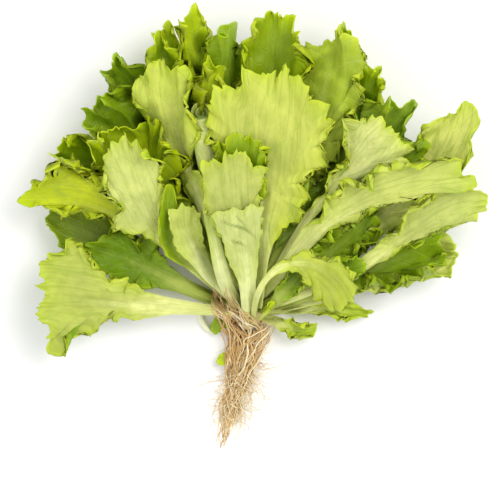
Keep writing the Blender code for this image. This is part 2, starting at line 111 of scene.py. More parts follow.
LEAVES = [full_row(*row) for row in (
    # The small leaves beside the crown, on the surface.
    ("dark_leaf_by_roots", DARK_AND_SHADED, [(-15, 4), (-17, -3), (-20, -9), (-22, -14)], (4, 4, 3, 2),
     (2, 4, 5, 5), SAME, 3, (1, 1)),
    ("low_right_leaf_curl", PALE, [(13, -3), (22, -7), (33, -10), (45, -9)], (4, 5, 5, 6),
     (2, 4, 5, 6), (2, 4, 6, 6), 3, (4, 3)),
    ("low_right_leaf_tip", PALE, [(18, 1), (40, 3), (60, 2), (81, 0)], (5, 6, 5, 4),
     (2, 3, 4, 6), SAME, 3, (2, 2)),
    # The leaves that lie lowest and make the rim of the fan.
    ("left_leaf_olive", DARK_AND_SHADED, [(-22, 3), (-64, 30), (-99, 49), (-134, 64)], (5, 6, 6, 8),
     (2, 8, 16, 16), SAME, 8, (5, 3)),
    ("rim_leaf_far_left", VIVID, [(-20, 10), (-57, 56), (-93, 91), (-124, 109)], (5, 6, 8, 18),
     (2, 7, 13, 15), (2, 7, 13, 14), 6, (6, 2)),
    ("rim_leaf_yellow", YELLOW, [(-7, 19), (-21, 81), (-38, 140), (-56, 184)], (5, 6, 8, 20),
     (2, 7, 12, 13), SAME, 6, (4, 4)),
    ("rim_leaf_flared", YELLOW, [(-4, 20), (-16, 81), (-28, 140), (-37, 193)], (5, 6, 10, 28),
     (2, 7, 11, 17), (2, 7, 11, 16), 1, (5, 5)),
    ("rim_leaf_right_small", VIVID, [(4, 20), (27, 75), (48, 133), (64, 183)], (5, 6, 10, 22),
     (2, 6, 10, 10), SAME, 5, (3, 3)),
    ("rim_leaf_right", VIVID, [(9, 18), (34, 72), (63, 120), (86, 160)], (5, 6, 10, 22),
     (2, 7, 13, 14), SAME, 5, (5, 3)),
    ("rim_leaf_left_high", DARK_AND_SHADED, [(-13, 15), (-38, 81), (-60, 127), (-90, 165)], (5, 7, 10, 22),
     (2, 9, 16, 18), SAME, 8, (6, 4)),
    ("rim_leaf_left", DARK_AND_SHADED, [(-16, 12), (-46, 73), (-74, 114), (-102, 138)], (5, 7, 10, 22),
     (2, 9, 20, 23), (2, 9, 18, 21), 8, (8, 4)),
    ("rim_leaf_striped", VIVID, [(-10, 17), (-28, 81), (-45, 133), (-57, 176)], (5, 7, 10, 20),
     (2, 8, 16, 20), (2, 8, 16, 19), 8, (5, 4)),
    ("top_leaf_olive", DARK_AND_SHADED, [(0, 20), (-7, 75), (-12, 133), (-14, 186)], (5, 7, 8, 16),
     (2, 8, 13, 18), SAME, 3, (3, 3)),
    ("right_leaf_frilled", DARK_AND_SHADED, [(13, 15), (42, 58), (74, 98), (102, 138)], (5, 7, 10, 20),
     (2, 8, 20, 32), (2, 8, 18, 24), 8, (5, 5)),
    ("right_leaf_far", PALE, [(16, 11), (63, 49), (109, 82), (137, 135)], (5, 8, 14, 30),
     (2, 7, 13, 24), (2, 7, 15, 19), 3, (3, 8)),
    ("low_right_leaf_pale", PALE, [(19, 5), (60, 15), (99, 31), (138, 42)], (5, 6, 8, 14),
     (2, 5, 13, 20), (2, 5, 10, 21), 4, (4, 4)),
    # The middle layers.
    ("top_leaf_blistered", PALE, [(7, 19), (26, 75), (46, 133), (54, 184)], (7, 12, 20, 24),
     (2, 9, 22, 21), (2, 9, 23, 23), 8, (-4, -6), 0.4),
    ("top_leaf_folded", VIVID, [(2, 20), (7, 75), (13, 133), (16, 195)], (7, 12, 16, 26),
     (2, 9, 19, 22), (2, 9, 20, 25), 6, (4, 5), 0.4),
    ("left_leaf_glossy", DARK_AND_SHADED, [(-27, 10), (-54, 24), (-78, 35), (-105, 47)], (7, 8, 8, 10),
     (2, 8, 17, 19), (2, 8, 18, 19), 5, (5, 4)),
    ("left_leaf_fan", PALE, [(-27, 6), (-64, 5), (-99, 8), (-136, 11)], (7, 12, 18, 22),
     (2, 7, 14, 46), (2, 9, 21, 54), 6, (-6, -5), 0.4),
    ("low_right_leaf_inner", DARK_AND_SHADED, [(20, 4), (57, 19), (89, 33), (125, 50)], (7, 8, 9, 16),
     (2, 5, 7, 12), (2, 5, 14, 24), 4, (2, 5)),
    ("top_leaf_curl", YELLOW, [(-3, 20), (-14, 75), (-21, 127), (-25, 162)], (7, 10, 14, 22),
     (2, 6, 10, 11), SAME, 4, (3, 3)),
    ("left_leaf_tall", PALE, [(-8, 18), (-27, 65), (-44, 114), (-54, 163)], (7, 13, 20, 22),
     (2, 4, 14, 28), (2, 4, 8, 21), 4, (-4, 3), 0.4),
    ("inner_leaf_frilled", DARK_AND_SHADED, [(11, 17), (24, 42), (39, 65), (58, 92)], (7, 9, 11, 16),
     (2, 7, 12, 15), SAME, 5, (4, 4)),
    ("right_leaf_shaded", DARK_AND_SHADED, [(15, 13), (47, 52), (83, 88), (118, 108)], (7, 9, 11, 16),
     (2, 7, 13, 12), SAME, 4, (4, 4)),
    ("right_leaf_toothed", PALE, [(13, 15), (36, 58), (64, 93), (91, 122)], (7, 14, 24, 28),
     (2, 3, 5, 38), (2, 3, 10, 44), 2, (3, -4)),
    ("right_leaf_middle", DARK_AND_SHADED, [(17, 10), (42, 30), (63, 48), (84, 65)], (7, 9, 11, 13),
     (2, 7, 12, 12), SAME, 4, (3, 3)),
    ("right_leaf_broad", PALE, [(18, 8), (73, 30), (115, 56), (155, 72)], (7, 13, 20, 24),
     (2, 5, 15, 21), (2, 3, 4, 14), 2, (6, -4)),
    ("right_leaf_long", PALE, [(14, 12), (40, 47), (78, 72), (144, 87)], (7, 14, 22, 26),
     (2, 9, 19, 19), (2, 3, 5, 6), 2, (4, -3), 0.5),
    ("left_leaf_cup", VIVID, [(-19, 18), (-46, 58), (-70, 94), (-84, 122)], (7, 11, 16, 28),
     (2, 11, 26, 32), (2, 11, 24, 33), 5, (8, 6)),
    ("left_leaf_long", VIVID, [(-25, 14), (-60, 49), (-99, 69), (-143, 72)], (7, 11, 14, 16),
     (2, 2, 3, 7), (2, 6, 22, 27), 3, (1, 6)),
    ("left_leaf_front", PALE, [(-22, 16), (-49, 46), (-65, 75), (-77, 111)], (7, 16, 26, 32),
     (2, 4, 27, 20), (2, 3, 11, 19), 2, (-5, 2), 0.6),
    ("left_leaf_side_fold", VIVID, [(-20, 18), (-40, 35), (-50, 49), (-51, 85)], (7, 14, 20, 24),
     (2, 4, 7, 6), (2, 4, 8, 8), 3, (3, 4)),
    ("low_right_leaf_small", DARK_AND_SHADED, [(20, 9), (40, 22), (57, 28), (75, 34)], (7, 8, 9, 11),
     (2, 4, 8, 10), SAME, 3, (3, 2)),
    ("low_right_leaf_pocket", DARK_AND_SHADED, [(14, 2), (20, 11), (28, 20), (38, 32)], (6, 7, 8, 9),
     (2, 4, 7, 7), SAME, 2, (2, 2)),
    ("yellow_shoot", YELLOW, [(8, -3), (11, 1), (14, 5), (17, 9)], (5, 6, 7, 8),
     (1, 1.6, 2, 2), SAME, 1, (1, 1)),
    ("leaflet_in_roots", YELLOW, [(-8, -24), (-12, -27), (-16, -30), (-21, -33)], (3, 3, 3, 3),
     (1, 1.2, 3.5, 4), SAME, 1, (1, 1)),
    # The front leaves, on top of the pile.
    ("left_leaf_stub", WHITE, [(-16, 10), (-30, 34), (-38, 52), (-39, 70)], (7, 12, 15, 17),
     (2, 6, 11, 13), (2, 5, 8, 11), 2, (1, 1), 0.8),
    ("front_leaf_stalk", WHITE, [(-9, 6), (-17, 29), (-22, 52), (-26, 75)], (7, 12, 14, 15),
     (4, 5, 4, 6), SAME, 1, (-1, -1)),
    ("front_leaf_big", PALE, [(6, 4), (8, 46), (11, 94), (16, 157)], (7, 18, 28, 32),
     (3, 6, 13, 50), (3, 7, 24, 46), 24, (-4, -6), 0.8),
    ("front_leaf_pocket", VIVID, [(0, 4), (-2, 42), (-4, 80), (-5, 115)], (7, 12, 16, 22),
     (3, 6, 13, 18), SAME, 2, (3, 3), 0.9),
    ("front_leaf_lobe", PALE, [(-1, 0), (-2, 34), (-6, 67), (-8, 103)], (7, 14, 20, 26),
     (3, 6, 18, 26), (3, 6, 12, 20), 3, (-3, -3), 0.8),
    ("front_leaf_cropped", WHITE, [(0, -6), (0, 20), (-2, 42), (-5, 70)], (7, 12, 15, 18),
     (4, 6, 12, 17), (4, 5, 9, 15), 2, (-1, -1), 1.0),
    ("arching_leaf", PALE, [(4, -6), (14, 26), (40, 33), (66, 9)], (7, 20, 26, 12),
     (2, 2, 7, 12), (2, 2, 10, 21), 3, (-2, -2), 0.7),
)]


def srgb(red, green, blue):
    """A linear colour from the numbers of a colour picker."""
    made = []
    for value in (red, green, blue):
        share = value / 255
        made.append(share / 12.92 if share <= 0.04045 else ((share + 0.055) / 1.055) ** 2.4)
    return np.array(made)


# For each tone: the side that shows, the other side, the margin, and the stalk.
# The dark tone is partly the deep green that some leaves have and partly painted shade, for leaves that lie
# in shade under others.
TONES = {
    PALE: (srgb(196, 205, 96), srgb(122, 160, 8), srgb(202, 218, 52), srgb(228, 230, 148)),
    VIVID: (srgb(142, 170, 2), srgb(186, 198, 56), srgb(198, 216, 16), srgb(196, 206, 100)),
    DARK_AND_SHADED: (srgb(124, 152, 10), srgb(164, 182, 56), srgb(168, 196, 18), srgb(184, 196, 92)),
    WHITE: (srgb(200, 208, 126), srgb(150, 178, 50), srgb(198, 212, 86), srgb(232, 235, 168)),
    YELLOW: (srgb(182, 200, 22), srgb(198, 206, 86), srgb(204, 220, 18), srgb(200, 208, 98)),
}

RUFFLES = ((40, 6.0, 22), (14, 4.6, 10), (6.4, 2.0, 4.6))  # wavelength, rise, and how far in each reaches
OVERHANG, DRAW_IN = 0.09, 0.8  # by which ruffles lean over sideways and draw the margin in
MOST_LEAN = 0.75  # the strength of ruffle beyond which it leans no further
CRUMPLES = ((17, 1.1), (7, 0.5))  # how far apart the blisters of a blade are, and how high
LOBE_WAVELENGTH = 30
BIG_TEETH, SMALL_TEETH = (9.5, 1.9), (3.8, 0.8)  # how far apart teeth are, and their share of the depth
TEETH_SUNK = 0.7  # share of the teeth's depth that is cut into the leaf instead of standing out
TEETH_REACH = 4.0  # how far in from the margin the teeth move the sheet
TOOTH_HEIGHTS = 97  # after how many teeth their heights repeat
FULL_WIDTH = 60  # of a leaf whose ruffles, teeth and lobes have their full size
ROLL_EVERY = 70  # of margin, for a leaf with rolls of 1

# How a leaf is worked: the share of the ruffles that it has, the depth of its teeth and lobes, how crumpled
# it is, its colour for the side that shows, how far the margin's colour spreads, and from where on it has
# teeth. Then its planned rolls (where along the margin, half its length, how much rolls, degrees), how many
# more there are, and its cracks. The colour for the side that shows is darkened as painted shade on leaves
# that lie in shade under others, and lightened as painted light on right_leaf_far.
Style = namedtuple("Style", "frill teeth lobes crumple face glow teeth_from curls rolls cracks",
                   defaults=(0.25, (), 0.0, ()))
PLAIN = Style(2.3, 4.2, 5.0, 1.3, None, 1.0, rolls=0.4)
# Cracks in the cropped leaf, each from one point to another: share of the length, share of the half width.
# They are drawn only in colour, as thin lines of painted shade.
CRACKS = ((0.93, -0.8, 0.78, 0.75), (0.96, -0.25, 0.86, 0.2), (0.78, -0.6, 0.70, 0.1))
# The painted shade in the splits of the cracks.
CRACK_SHADE = srgb(96, 116, 30)
CRACK_DEPTH, CRACK_HALF, CRACK_BEND = 0.8, 0.75, 0.005
PALE_WHITE_TO, WHITE_TO = 0.72, 0.42  # share of the length that the stalk's white reaches, pale leaves first
THIN_EDGE, WIDE_EDGE = (0.55, 2.2), (0.5, 12)  # how strong the margin's colour is, and how far in it reaches
STYLES = dict(
    front_leaf_big=Style(0.55, 3.4, 4.0, 1.2, (190, 196, 94), 1.0, 0.45),
    front_leaf_lobe=Style(0.45, 3.2, 3.0, 1.0, (184, 190, 106), 0.8, 0.45),
    front_leaf_cropped=Style(0.15, 3.0, 3.0, 0.7, (198, 204, 130), 0.4, 0.68, cracks=CRACKS),
    front_leaf_stalk=Style(0.0, 0.8, 0.3, 0.2, (186, 198, 100), 0.0, 0.8),
    left_leaf_stub=Style(0.3, 2.4, 3.0, 0.8, (198, 206, 110), 0.6, 0.6),
    left_leaf_front=Style(0.7, 3.2, 5.0, 0.9, (208, 214, 130), 0.8, 0.4,
                          curls=((0.36, 9, 9, 160), (0.6, 10, 10, 165))),
    left_leaf_tall=Style(0.6, 3.0, 4.0, 1.4, (190, 198, 92), 1.0, 0.4, rolls=0.2),
    left_leaf_fan=Style(0.5, 3.4, 4.0, 1.2, (181, 188, 92), 0.9, 0.4,
                        curls=((0.6, 10, 8, 165), (0.7, 8, 6, 150))),
    left_leaf_glossy=Style(1.0, 3.2, 4.0, 3.0, (112, 146, 10), 0.8, 0.25),
    # Painted shade: this leaf's colour is darkened because it lies in shade.
    left_leaf_olive=Style(0.5, 1.6, 2.0, 0.6, (114, 132, 22), 0.2, 0.25),
    left_leaf_side_fold=Style(0.2, 0.8, 1.0, 0.5, (124, 154, 4), 0.4, 0.3),
    left_leaf_long=Style(1.4, 4.0, 7.0, 1.0, (190, 199, 22), 1.0, 0.3, rolls=0.2),
    left_leaf_cup=Style(1.6, 4.0, 5.0, 1.2, (190, 210, 8), 1.0, 0.3,
                        curls=((0.5, 16, 9, 120),)),
    right_leaf_toothed=Style(0.5, 3.6, 3.0, 0.8, (209, 212, 138), 0.8, 0.45),
    right_leaf_broad=Style(0.5, 2.0, 3.0, 0.9, (195, 201, 116), 0.6, 0.5,
                           curls=((0.3, 11, 7, 150),)),
    # Painted light: this leaf's colour is lightened to make up for the shade on its steep slopes.
    right_leaf_far=Style(0.45, 2.0, 7.0, 0.9, (236, 237, 138), 0.7, 0.5),
    right_leaf_long=Style(0.9, 3.6, 6.0, 0.8, (200, 207, 112), 0.8, 0.35,
                          curls=((0.2, 13, 10, 160), (0.31, 9, 8, 175), (0.42, 8, 6, 150))),
    right_leaf_frilled=Style(2.2, 4.0, 4.0, 1.4, (150, 178, 56), 1.0, 0.25, rolls=0.2),
    top_leaf_folded=Style(1.0, 3.8, 5.0, 1.8, (142, 166, 6), 1.0, 0.45, rolls=0.3),
    top_leaf_blistered=Style(1.0, 3.8, 5.0, 3.0, (158, 176, 42), 0.9, 0.4, rolls=0.3),
    low_right_leaf_pale=Style(0.7, 3.4, 5.0, 0.9, (234, 234, 140), 0.6, 0.4, rolls=0.2),
    # Painted shade: this leaf's colour is darkened because it lies in shade under the roots.
    dark_leaf_by_roots=Style(0.2, 0.6, 0.5, 0.5, (120, 148, 30), 0.5),
    leaflet_in_roots=Style(0.2, 0.6, 0.5, 0.5, (168, 190, 60), 0.8),
    yellow_shoot=Style(0.4, 1.0, 0.5, 0.5, (176, 196, 10), 1.0),
    low_right_leaf_small=Style(1.0, 2.4, 3.0, 0.8, (100, 134, 6), 0.8),
    # Painted shade: darkened for the shaded hollow in which this leaf lies.
    low_right_leaf_pocket=Style(0.8, 2.0, 2.0, 0.8, (96, 122, 16), 0.4),
    low_right_leaf_tip=Style(1.0, 2.4, 2.0, 0.8, (188, 204, 60), 0.8),
    low_right_leaf_curl=Style(1.2, 2.4, 2.0, 0.8, (172, 192, 58), 0.8),
    front_leaf_pocket=Style(1.0, 3.6, 3.0, 1.0, (132, 162, 4), 0.6, 0.4),
    arching_leaf=Style(0.5, 3.6, 4.0, 0.7, (184, 194, 74), 0.8, 0.5),
    # Painted shade: darkened for the shaded gap in which this leaf shows.
    inner_leaf_frilled=Style(2.2, 3.0, 4.0, 1.2, (96, 122, 12), 0.3, 0.2, rolls=0.6),
)


def smooth(low, high, value):
    """0 below low, 1 above high, and an even curve between."""
    t = np.clip((value - low) / (high - low), 0, 1)
    return t * t * (3 - 2 * t)


def unit(vectors):
    """Vectors brought to a length of 1."""
    return vectors / (np.linalg.norm(vectors, axis=-1)[..., None] + TINY)


def running_mean(row, reach):
    """A row in which each value is the mean of itself and its neighbours up to that reach."""
    count = 2 * reach + 1
    return np.convolve(np.pad(row, reach, mode="edge"), np.ones(count) / count, mode="valid")


def curve_through(values, shares):
    """The one cubic curve through four values at the stations, read at an array of shares of the length."""
    values = np.array(values, float)
    made = 0.0
    for i, station in enumerate(STATIONS):
        others = np.delete(STATIONS, i)
        weight = np.prod([(shares - other) / (station - other) for other in others], axis=0)
        made = made + np.multiply.outer(weight, values[i])
    return made


def width_through(values, shares):
    """Widths between the stations, on a curve that never swings past the values it joins."""
    values = np.array(values, float)
    steps = np.diff(values) / np.diff(STATIONS)
    slopes = np.zeros(len(values))
    slopes[0], slopes[-1] = steps[0], steps[-1]
    for i in range(1, len(values) - 1):
        if steps[i - 1] * steps[i] > 0:
            slopes[i] = 2 * steps[i - 1] * steps[i] / (steps[i - 1] + steps[i])
    span = np.clip(np.searchsorted(STATIONS, shares, side="right") - 1, 0, len(steps) - 1)
    length = np.diff(STATIONS)[span]
    t = (shares - STATIONS[span]) / length
    near = values[span] * (1 + 2 * t) * (1 - t) ** 2 + slopes[span] * length * t * (1 - t) ** 2
    far = values[span + 1] * t * t * (3 - 2 * t) + slopes[span + 1] * length * t * t * (t - 1)
    return near + far


def half_width(leaf, along, across):
    """How far the margin is from the spine, on the side that across is on."""
    return np.where(across > 0, width_through(leaf.right, along), width_through(leaf.left, along))


def plan_and_height(leaf, along, across):
    """A leaf's middle surface, as in the CAD part, before it was laid: plan and height."""
    spine = curve_through(leaf.spine, along) * STRETCH
    step = 1e-3
    ahead, behind = curve_through(leaf.spine, along + step), curve_through(leaf.spine, along - step)
    heading = unit((ahead - behind) * STRETCH)
    rightward = np.stack([heading[..., 1], -heading[..., 0]], axis=-1)
    rounding = 1 - TIP_NARROWS * (1 - leaf.blunt) * np.clip((along - TIP_FROM) / (1 - TIP_FROM), 0, 1) ** 2
    half = half_width(leaf, along, across) * STRETCH.mean() * rounding
    blade = smooth(0.2, 0.7, along) * across**2
    plan = spine + rightward * (across * half)[..., None] - heading * (leaf.bulge * blade)[..., None]
    rim = np.where(across > 0, leaf.cup[1], leaf.cup[0]) * LOFT
    height = curve_through(np.multiply(leaf.arch, LOFT), along) + rim * blade
    return plan + CROWN[:2], height


def blurred(grid, sigma):
    """A grid smoothed by a bell curve of that many cells, its edges repeated outwards."""
    reach = int(3 * sigma) + 1
    bell = np.exp(-0.5 * (np.arange(-reach, reach + 1) / sigma) ** 2)
    bell /= bell.sum()
    for axis in (0, 1):
        padding = [(reach, reach) if k == axis else (0, 0) for k in (0, 1)]
        padded = np.pad(grid, padding, mode="edge")
        grid = np.apply_along_axis(np.convolve, axis, padded, bell, mode="valid")
    return grid


def read_grid(grid, rows, columns):
    """Values of a grid at fractional rows and columns."""
    rows = np.clip(rows, 0, grid.shape[0] - 1.001)
    columns = np.clip(columns, 0, grid.shape[1] - 1.001)
    i, j = rows.astype(int), columns.astype(int)
    a, b = rows - i, columns - j
    near = grid[i, j] * (1 - b) + grid[i, j + 1] * b
    far = grid[i + 1, j] * (1 - b) + grid[i + 1, j + 1] * b
    return near * (1 - a) + far * a


def soft_noise(x, y, cell, rng):
    """Smooth noise from -1 to 1 over the plane, with bumps about a cell across."""
    lattice = rng.uniform(-1, 1, (LATTICE, LATTICE))
    x, y = x / cell, y / cell
    i, j = np.floor(x).astype(int), np.floor(y).astype(int)
    a, b = smooth(0, 1, x - i), smooth(0, 1, y - j)

    def corner(down, right):
        return lattice[(i + down) % LATTICE, (j + right) % LATTICE]

    near = corner(0, 0) * (1 - b) + corner(0, 1) * b
    far = corner(1, 0) * (1 - b) + corner(1, 1) * b
    return near * (1 - a) + far * a


def laid_lift(leaf):
    """How far the CAD part lifts each coarse point of a leaf over its drawn height."""
    along, across = np.meshgrid(
        np.linspace(0, 1, COARSE_ROWS + 1), np.linspace(-1, 1, COARSE_COLUMNS + 1), indexing="ij"
    )
    plan, height = plan_and_height(leaf, along, across)
    corners = np.array([vert.co[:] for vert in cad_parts[leaf.name].data.vertices]) / MM
    apart = ((corners[None, :, :2] - plan.reshape(-1, 1, 2)) ** 2).sum(-1)
    weight = np.exp(-0.5 * (apart - apart.min(axis=1)[:, None]))
    found = (weight * corners[None, :, 2]).sum(1) / weight.sum(1)
    return found.reshape(height.shape) - height


def along_margin(grid):
    """A grid's values at its margin: up its left side, over the tip and down its right side."""
    return np.concatenate([grid[:, 0], grid[-1, 1:-1], grid[::-1, -1]])


LOOSE_LEAVES = ("leaflet_in_roots", "dark_leaf_by_roots", "yellow_shoot")  # not grown from the crown's side


class Sheet:
    """A leaf as a fine grid, with what is known at each of its points."""

    def __init__(self, leaf, index):
        self.leaf = leaf
        self.style = STYLES.get(leaf.name, PLAIN)
        self.rng = np.random.default_rng(index + 1)
        self.lay_out()
        self.join_crown()
        self.find_margin()
        self.work()

    def lay_out(self):
        """Spaces the points over the leaf, on the surface that the CAD part gives."""
        leaf = self.leaf
        spine = curve_through(leaf.spine, np.linspace(0, 1, 20))
        self.length = float(np.linalg.norm(np.diff(spine, axis=0), axis=1).sum())
        self.width = float(max(np.add(leaf.left, leaf.right)))
        rows = max(LEAST_ROWS, int(self.length / SPACING))
        columns = max(LEAST_COLUMNS, int(self.width * 1.15 / SPACING))
        along = np.linspace(0, 1, rows + 1)[:, None]
        across = np.linspace(-1, 1, columns + 1)[None, :]
        corner = 1 - np.sqrt(np.clip(1 - np.abs(across) ** 4, 0, 1))
        self.along = along * (1 - CORNER_CUT * (1 - BLUNT_KEEPS * leaf.blunt) * corner)
        self.across = across + 0 * along
        self.plan, height = plan_and_height(leaf, self.along, self.across)
        rows, columns = LIFT_CELLS * COARSE_ROWS, LIFT_CELLS * COARSE_COLUMNS
        row, column = np.meshgrid(
            np.linspace(0, COARSE_ROWS, rows + 1), np.linspace(0, COARSE_COLUMNS, columns + 1), indexing="ij"
        )
        lift = blurred(read_grid(laid_lift(leaf), row, column), LIFT_CELLS / 2)
        self.height = height + read_grid(lift, self.along * rows, (self.across + 1) / 2 * columns)

    def join_crown(self):
        """Draws the foot of the stalk on to the crown."""
        if self.leaf.name in LOOSE_LEAVES:
            return
        foot = self.plan[0].mean(axis=0) - CROWN[:2]
        aim = foot / max(1.0, np.linalg.norm(foot / (CROWN_SIZE[:2] * FOOT_OUT)))
        pull = 1 - smooth(0.0, FOOT_REACH, self.along)
        self.plan = self.plan + (aim - foot) * pull[..., None]
        drop = np.clip(self.height[0].mean() - CROWN_SIZE[2] * FOOT_UP, 0, None)
        self.height = self.height - drop * pull

    def find_margin(self):
        """For each point: its place along the margin, the way out to it, and how far out it is (0 to 1)."""
        forward = (self.along - 0.5) * self.length
        sideways = self.across * self.width / 2
        turn = np.arctan2(sideways, forward)
        out = np.hypot(forward, sideways)
        margin_turn = along_margin(turn)
        margin = np.stack([along_margin(self.plan[..., 0]), along_margin(self.plan[..., 1])], axis=1)
        order = np.argsort(margin_turn)

        def at_margin(values):
            """The margin's value in the direction of each point from the middle."""
            return np.interp(turn, margin_turn[order], values[order])

        steps = np.linalg.norm(np.diff(margin, axis=0), axis=1)
        places = np.concatenate([[0], np.cumsum(steps)])
        run = unit(np.gradient(margin, axis=0))
        run = unit(np.stack([running_mean(run[:, 0], 4), running_mean(run[:, 1], 4)], axis=1))
        self.place = at_margin(places)
        self.margin_length = places[-1]
        self.out = np.clip(out / at_margin(along_margin(out)), 0, 1)
        self.tangent = np.stack([at_margin(run[:, 0]), at_margin(run[:, 1])], axis=-1)
        self.outward = np.stack([-self.tangent[..., 1], self.tangent[..., 0]], axis=-1)
        to_margin = self.plan - np.stack([at_margin(margin[:, 0]), at_margin(margin[:, 1])], axis=-1)
        self.inset = np.hypot(to_margin[..., 0], to_margin[..., 1])
        self.on_blade = smooth(BLADE_FROM, BLADE_FULL, self.along)

    def swing(self, wavelength):
        """A plain wave along the margin that starts anywhere."""
        return np.sin(TURN * self.place / wavelength + self.rng.uniform(0, 6))

    def wave(self, wavelength):
        """A wave along the margin as its phase and strength, uneven as a grown ruffle is."""
        rng = self.rng
        phase = TURN * self.place / wavelength * rng.uniform(0.9, 1.1) + rng.uniform(0, TURN)
        drift = self.swing(wavelength * 3.1)
        strength = 0.75 + 0.35 * self.swing(wavelength * 4.3)
        return phase + 1.2 * drift, strength

    def teeth(self, spacing):
        """Pointed teeth along the margin, each with its own height."""
        count = self.place / spacing + 0.35 * self.swing(spacing * 5.3) + self.rng.uniform(0, 1)
        which = np.floor(count).astype(int)
        heights = self.rng.uniform(0.2, 1.0, TOOTH_HEIGHTS)[which % TOOTH_HEIGHTS]
        return heights * (1 - np.abs(2 * (count - which) - 1)) ** 1.6

    def work(self):
        """Rolled stretches, ruffles, blisters, lobes and teeth."""
        style, rng = self.style, self.rng
        size = min(1.0, self.width / FULL_WIDTH)
        scale = 0.25 + 0.75 * size
        x, y = self.along * self.length, self.across * self.width / 2
        curls = list(style.curls)
        for _ in range(int(style.rolls * self.margin_length / ROLL_EVERY)):
            curls.append((rng.uniform(0.3, 0.7), rng.uniform(6, 12) * size, rng.uniform(4, 8) * size,
                          rng.choice((-1, 1)) * rng.uniform(90, 170)))
        for curl in curls:
            self.roll(*curl)
        for wavelength, rise, reach in RUFFLES:
            phase, strength = self.wave(wavelength * scale)
            near = np.exp(-((self.inset / (reach * scale)) ** 1.5)) * smooth(0.1, 0.75, self.out)
            amount = style.frill * scale * self.on_blade * near * strength
            aside = np.minimum(amount, MOST_LEAN)
            self.height += rise * amount * np.sin(phase)
            self.plan += self.tangent * (OVERHANG * wavelength * aside * np.sin(2 * phase))[..., None]
            self.plan -= self.outward * (DRAW_IN * rise * aside * np.sin(phase + 0.7))[..., None]
        for apart, rise in CRUMPLES:
            self.height += rise * style.crumple * self.on_blade * soft_noise(x, y, apart, rng)
        phase, strength = self.wave(LOBE_WAVELENGTH)
        lobe = style.lobes * size * np.sin(phase) * strength * self.out**4
        depth = sum(share * self.teeth(spacing) for spacing, share in (BIG_TEETH, SMALL_TEETH)) - TEETH_SUNK
        toothed = smooth(style.teeth_from, style.teeth_from + 0.3, self.along)
        cut = (lobe + style.teeth * depth * scale * np.exp(-self.inset / TEETH_REACH)) * toothed
        self.plan += self.outward * cut[..., None]

    def roll(self, margin_share, half_length, rolled, degrees):
        """Rolls a stretch of the margin round a small cylinder, up where the degrees are above 0."""
        away = np.abs(self.place / self.margin_length - margin_share) * self.margin_length
        depth = rolled * np.clip(1 - (away / half_length) ** 2, 0, 1)
        inside = np.clip(depth - self.inset, 0, None)
        radius = rolled / abs(math.radians(degrees)) + 1e-6
        angle = inside / radius
        self.plan += self.outward * (radius * np.sin(angle) - inside)[..., None]
        self.height += np.sign(degrees) * radius * (1 - np.cos(angle))

    def half_thickness(self):
        rib = RIB * (1 - smooth(0.0, 0.75, self.along)) * np.clip(1 - self.across**2, 0, 1)
        return (BLADE + rib) / 2


def cells_of(raster, origin, plan):
    """The rows and columns of a raster in which points of the plan fall, kept inside it."""
    spots = ((plan - origin) / PRESS_CELL).astype(int)
    return [np.clip(spots[..., k], 0, raster.shape[k] - 1) for k in (0, 1)]


def splat(raster, origin, plan, values, mark):
    """Marks values in a raster (the lowest or the highest ones), each point with its neighbours."""
    place = ((plan - origin) / PRESS_CELL).astype(int).reshape(-1, 2)
    for down in (-1, 0, 1):
        for right in (-1, 0, 1):
            i = np.clip(place[:, 0] + down, 0, raster.shape[0] - 1)
            j = np.clip(place[:, 1] + right, 0, raster.shape[1] - 1)
            mark.at(raster, (i, j), values.ravel())


def widened(grid):
    """A grid in which each cell has the highest value of itself and its neighbours."""
    rows, columns = grid.shape
    padded = np.pad(grid, 1, mode="edge")
    return np.max([padded[a : a + rows, b : b + columns] for a in (0, 1, 2) for b in (0, 1, 2)], axis=0)


def press(sheets):
    """Presses the pile from the top down: each leaf gives way under those that lie on it."""
    origin = np.array([CAD_LOW.x, CAD_LOW.y]) / MM - PRESS_MARGIN
    count = (np.array([CAD_HIGH.x, CAD_HIGH.y]) / MM + PRESS_MARGIN - origin) / PRESS_CELL
    ceiling = np.full(count.astype(int) + 2, 1e3)
    for sheet in reversed(sheets):
        half = sheet.half_thickness()
        room = ceiling[tuple(cells_of(ceiling, origin, sheet.plan))]
        excess = np.clip(sheet.height + half + PRESS_GAP - room, 0, None)
        sheet.height = np.maximum(sheet.height - blurred(widened(widened(excess)), 2.0), FLOOR_GAP + half)
        splat(ceiling, origin, sheet.plan, sheet.height - half, np.minimum)
    top = np.zeros(ceiling.shape)
    for sheet in sheets:
        splat(top, origin, sheet.plan, sheet.height + sheet.half_thickness(), np.maximum)
    return origin, top


def crack_share(sheet):
    """How much painted shade of the cracks each point has: thin bent lines that fade out at both ends."""
    made = np.zeros(sheet.along.shape)
    for from_along, from_across, to_along, to_across in sheet.style.cracks:
        share = np.clip((sheet.across - from_across) / (to_across - from_across), 0, 1)
        bend = CRACK_BEND * np.sin(3 + 8 * share)
        off = np.hypot(sheet.along - from_along - (to_along - from_along) * share - bend,
                       (sheet.across - from_across - (to_across - from_across) * share) * 0.2)
        depth = CRACK_DEPTH * np.sqrt(np.sin(math.pi * share).clip(0, 1))
        made = np.maximum(made, depth * np.exp(-((off * sheet.length / CRACK_HALF) ** 2)))
    return made


